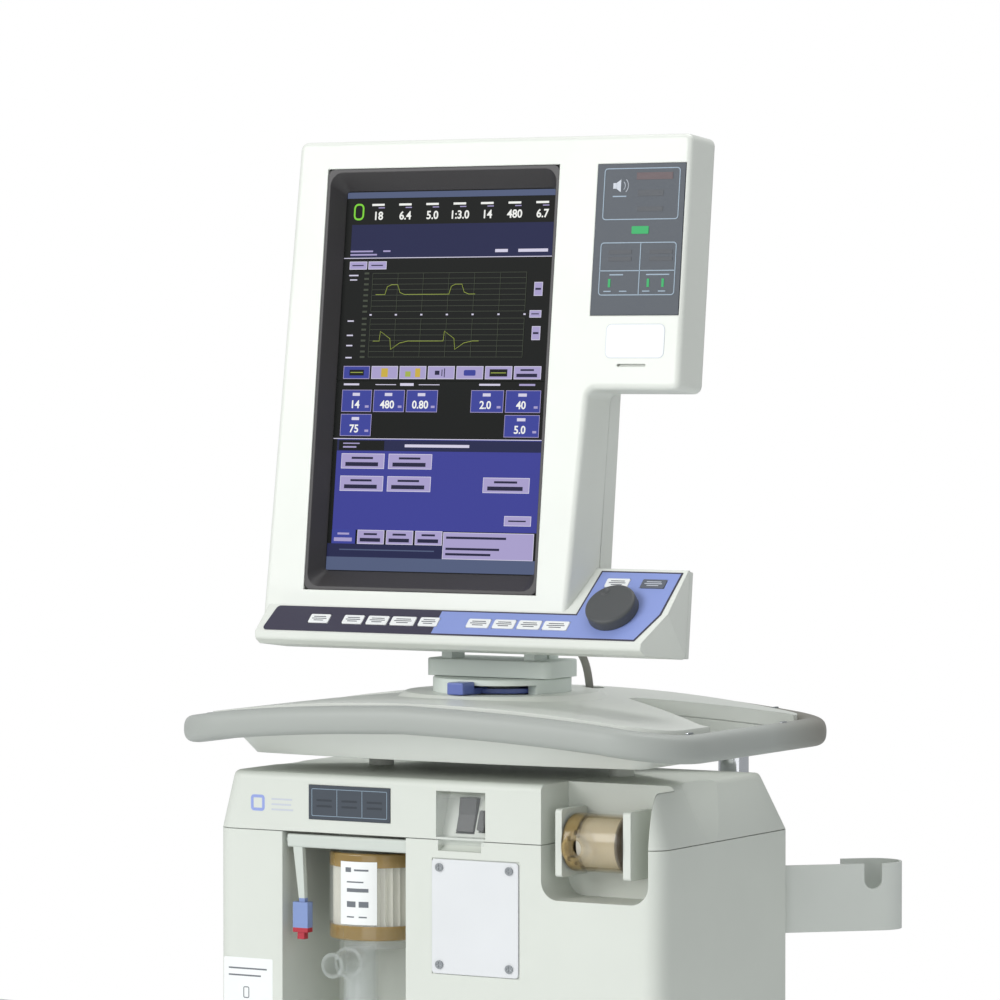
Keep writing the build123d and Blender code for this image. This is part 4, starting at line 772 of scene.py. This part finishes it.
# sloping key panel
console = {"stripTop": 18 * mm, "stripBottom": -7 * mm, "top": 58 * mm, "bend": -10 * mm, "line": 1.5 * mm,
           "keyHeight": 5.5 * mm, "bigKeyHeight": 44.8 * mm}
keys = {"lock_key": (-127, 20), "contrast_key": (-93, 20), "silence_key": (-68.5, 21), "reset_key": (-43, 24),
        "help_key": (-17.5, 19), "oxygen_key": (31.5, 22), "manual_breath_key": (56.5, 21), "exhale_pause_key": (81, 22),
        "inhale_pause_key": (106.5, 24)}
bigKeys = {"clear_key": (145, 22), "accept_key": (179.5, 23)}


def onPanel(height, lift):  # flat work about a height on the key panel, x across and y up the slope
    slope = math.radians(panelSteep)
    y = display["front"] + (height - console["stripTop"]) / math.tan(slope)
    out = Vector((0, -math.sin(slope), math.cos(slope))) * lift
    return displayPlace @ Matrix.Translation(Vector((0, y, height)) + out) @ Matrix.Rotation(slope, 4, "X")


def panelUp(height):  # distance up the slope from the strip's top edge
    return (height - console["stripTop"]) / math.sin(math.radians(panelSteep))


def makeOverlay():  # the printed sheet: dark strip, blue field and its outline, cut from the same sheet as the keys' holes
    source = frame["nodes"]["console_overlay"]
    piece = bpy.data.objects.new("console_film", source.data.copy())
    bpy.context.scene.collection.objects.link(piece)
    flatten = onPanel(console["stripTop"], 0).inverted()
    settle(piece, flatten)
    edit(piece)
    bpy.ops.mesh.select_all(action="SELECT")
    bpy.ops.mesh.remove_doubles(threshold=1e-6)
    low, step = panelUp(console["stripBottom"] + 1.5 * mm), panelUp(console["stripTop"])
    top, shelf = panelUp(console["top"] - 2.5 * mm), panelUp(console["stripTop"] - 1.5 * mm)
    corners = [(console["bend"], low), (186.5 * mm, low), (200 * mm, step), (202.3 * mm, top), (124.5 * mm, top),
               (120 * mm, shelf), (console["bend"], shelf)]
    sides = []
    for (xa, ya), (xb, yb) in zip(corners, corners[1:] + corners[:1]):
        inward = Vector((-(yb - ya), xb - xa, 0)).normalized()
        sides.append((Vector((xa, ya, 0)) + inward * (console["line"] if len(sides) < 6 else 0), inward))
    for place, inward in sides:
        bpy.ops.mesh.select_all(action="SELECT")
        bpy.ops.mesh.bisect(plane_co=place, plane_no=inward)
    piece.data.materials.clear()
    piece.data.materials.append(finish["strip"])
    piece.data.materials.append(finish["film"])

    def inField(face):
        inside = [(Vector(face.center) - place).dot(inward) > 0 for place, inward in sides]
        aboveLow, inChamfer, inRight, underTop, pastLeft, underShelf, pastBend = inside
        return aboveLow and inChamfer and inRight and pastBend and ((pastLeft and underTop) or underShelf)
    pickFaces(piece, inField)
    piece.active_material_index = 1
    bpy.ops.object.material_slot_assign()
    bpy.ops.object.mode_set(mode="OBJECT")
    settle(piece, onPanel(console["stripTop"], 0))
    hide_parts("console_overlay")
    finished(piece, "display", 20)


def keyMark(name, x, wide, height, ink):
    made = []
    rows = ((0.3, 1.9), (0.36, -0.2), (0.24, -2.3))
    for share, y in rows[:2] if wide > 25 * mm else rows:
        made.append(flat(x - wide * share, x + wide * share, (y - 0.4) * mm, (y + 0.4) * mm, ink))
    piece = joined(made, name + "_mark")
    settle(piece, onPanel(height, 1.3 * mm))
    finished(piece, name, 30)


makeOverlay()
for name, (x, wide) in keys.items():
    keyMark(name, x * mm, wide * mm, console["keyHeight"], "keyPrint")
for name, (x, wide) in bigKeys.items():
    ink = "keyPrintPale" if name == "accept_key" else "keyPrint"
    keyMark(name, x * mm, wide * mm, console["bigKeyHeight"], ink)


# prints and labels on the breathing unit
print("breathing unit")
unit = {"front": -115 * mm, "status": (-123 * mm, -41 * mm, 906 * mm, 936 * mm)}


def unitFront(lift):
    return Matrix.Translation((0, unit["front"] - lift, 0)) @ Matrix.Rotation(math.radians(90), 4, "X")


def makeUnitPrints():
    x0, x1, z0, z1 = unit["status"]
    edge = 3.2 * mm
    made = [flat(x0 + edge, x1 - edge, z0 + edge, z1 - edge, "printLine", 0, corner=1.2 * mm, rim=0.5 * mm, hollow=True)]
    third = (x1 - x0 - 2 * edge) / 3
    made += [flat(x0 + edge + third * k, x0 + edge + third * k + 0.5 * mm, z0 + edge, z1 - edge, "printLine") for k in (1, 2)]
    for k in range(3):
        x = x0 + edge + third * k + 5 * mm
        made += [flat(x, x + third - 10 * mm, z, z + 1.8 * mm, "printDim") for z in (z0 + 11 * mm, z0 + 16 * mm)]
    piece = joined(made, "unit_status_print")
    settle(piece, unitFront(0.6 * mm))
    finished(piece, "cart", 30)
    label = flat(-210 * mm, -160 * mm, 742 * mm, 783 * mm, "labelPaper", 0, corner=1.5 * mm, thick=0.2 * mm)
    lines = [flat(-205 * mm, right * mm, z * mm, (z + 1.3) * mm, "labelInk", 0.2 * mm) for right, z in ((-166, 773), (-172, 767))]
    label = joined([label] + lines + [flat(-190 * mm, -184 * mm, 748 * mm, 758 * mm, "labelInk", 0.2 * mm, corner=1.5 * mm, rim=0.8 * mm,
                                           hollow=True)], "blank_notice")
    settle(label, unitFront(0))
    finished(label, "cart", 30)
    emblem = [flat(-182 * mm, -168 * mm, 911 * mm, 925 * mm, "emblem", 0, corner=3 * mm, rim=2.6 * mm, hollow=True)]
    emblem += [flat(-161 * mm, right * mm, z * mm, (z + 1.6) * mm, "keyPrintPale") for right, z in ((-140, 921), (-141, 916.5), (-139, 912))]
    emblem = joined(emblem, "plain_emblem")
    settle(emblem, unitFront(0))
    finished(emblem, "cart", 30)


def wrap(turnFrom, turnTo, z0, z1, surface, radius, axis):  # a patch bent round an upright axis, angles from +X
    bpy.ops.mesh.primitive_cylinder_add(vertices=180, radius=radius, depth=z1 - z0, end_fill_type="NOTHING",
                                        location=(*axis, (z0 + z1) / 2))
    piece = bpy.context.object
    settle(piece)
    piece.data.materials.append(finish[surface])
    edit(piece)

    def outside(face):
        turn = math.degrees(math.atan2(face.center.y - axis[1], face.center.x - axis[0]))
        return not turnFrom <= turn <= turnTo
    pickFaces(piece, outside)
    bpy.ops.mesh.delete(type="FACE")
    bpy.ops.object.mode_set(mode="OBJECT")
    return piece


def makeFilterLabel():
    axis = (-82 * mm, -68 * mm)
    made = [wrap(-107, -60, 817 * mm, 871 * mm, "labelPaper", 42.25 * mm, axis)]
    for turnFrom, turnTo, z, tall in ((-100, -92, 862, 4), (-88, -70, 863, 1.6), (-98, -76, 853, 1.2), (-98, -70, 845, 3.2),
                                      (-98, -86, 832, 5), (-82, -70, 832, 5), (-98, -88, 823, 1.2), (-82, -72, 823, 1.2)):
        made.append(wrap(turnFrom, turnTo, z * mm, (z + tall) * mm, "labelInk", 42.35 * mm, axis))
    finished(joined(made, "filter_label"), "cart", 30)


def makeRailMarks():  # small dark end marks where the grip's covers meet
    made = []
    for side in (-1, 1):
        for x, y in ((236, -96), (241, 66), (196, 139)):
            bpy.ops.mesh.primitive_cube_add(size=1, location=(side * x * mm, y * mm, railHeight(x * mm) + 11.9 * mm))
            mark = bpy.context.object
            mark.scale = (3.2 * mm, 9 * mm, 1.6 * mm)
            settle(mark)
            mark.data.materials.append(finish["screw"])
            only(mark)
            bevel = mark.modifiers.new("soft", "BEVEL")
            bevel.width = 0.6 * mm
            bevel.segments = 2
            bpy.ops.object.modifier_apply(modifier="soft")
            made.append(mark)
    finished(joined(made, "rail_marks"), "cart", 30)


def makeRearDetails():  # rating plate and panel screws behind the unit
    back = 122.2 * mm
    behind = Matrix.Translation((0, back, 0)) @ Matrix.Rotation(math.radians(180), 4, "Z") @ Matrix.Rotation(math.radians(90), 4, "X")
    plate = [flat(-150 * mm, -100 * mm, 690 * mm, 722 * mm, "labelPaper", 0, corner=1.5 * mm)]
    plate += [flat(-146 * mm, right * mm, z * mm, (z + 1.4) * mm, "labelInk", 0.12 * mm)
              for right, z in ((-112, 715), (-106, 709), (-118, 703), (-108, 697))]
    plate = joined(plate, "rating_plate")
    settle(plate, behind)
    finished(plate, "cart", 30)
    screws = []
    for x in (-188, -62, 62, 188):
        for z in (644, 866):
            bpy.ops.mesh.primitive_cylinder_add(vertices=24, radius=4 * mm, depth=1.6 * mm, location=(x * mm, z * mm, 0.8 * mm))
            screw = bpy.context.object
            settle(screw)
            screw.data.materials.append(finish["screw"])
            edit(screw)
            pickFaces(screw, lambda face: face.normal.z > 0.9)
            bpy.ops.mesh.inset(thickness=1.5 * mm)
            bpy.ops.mesh.extrude_region_move(TRANSFORM_OT_translate={"value": (0, 0, -0.8 * mm)})
            bpy.ops.object.mode_set(mode="OBJECT")
            screws.append(screw)
    screws = joined(screws, "rear_screws")
    settle(screws, behind)
    finished(screws, "cart", 30)


makeUnitPrints()
makeFilterLabel()
makeRailMarks()
makeRearDetails()
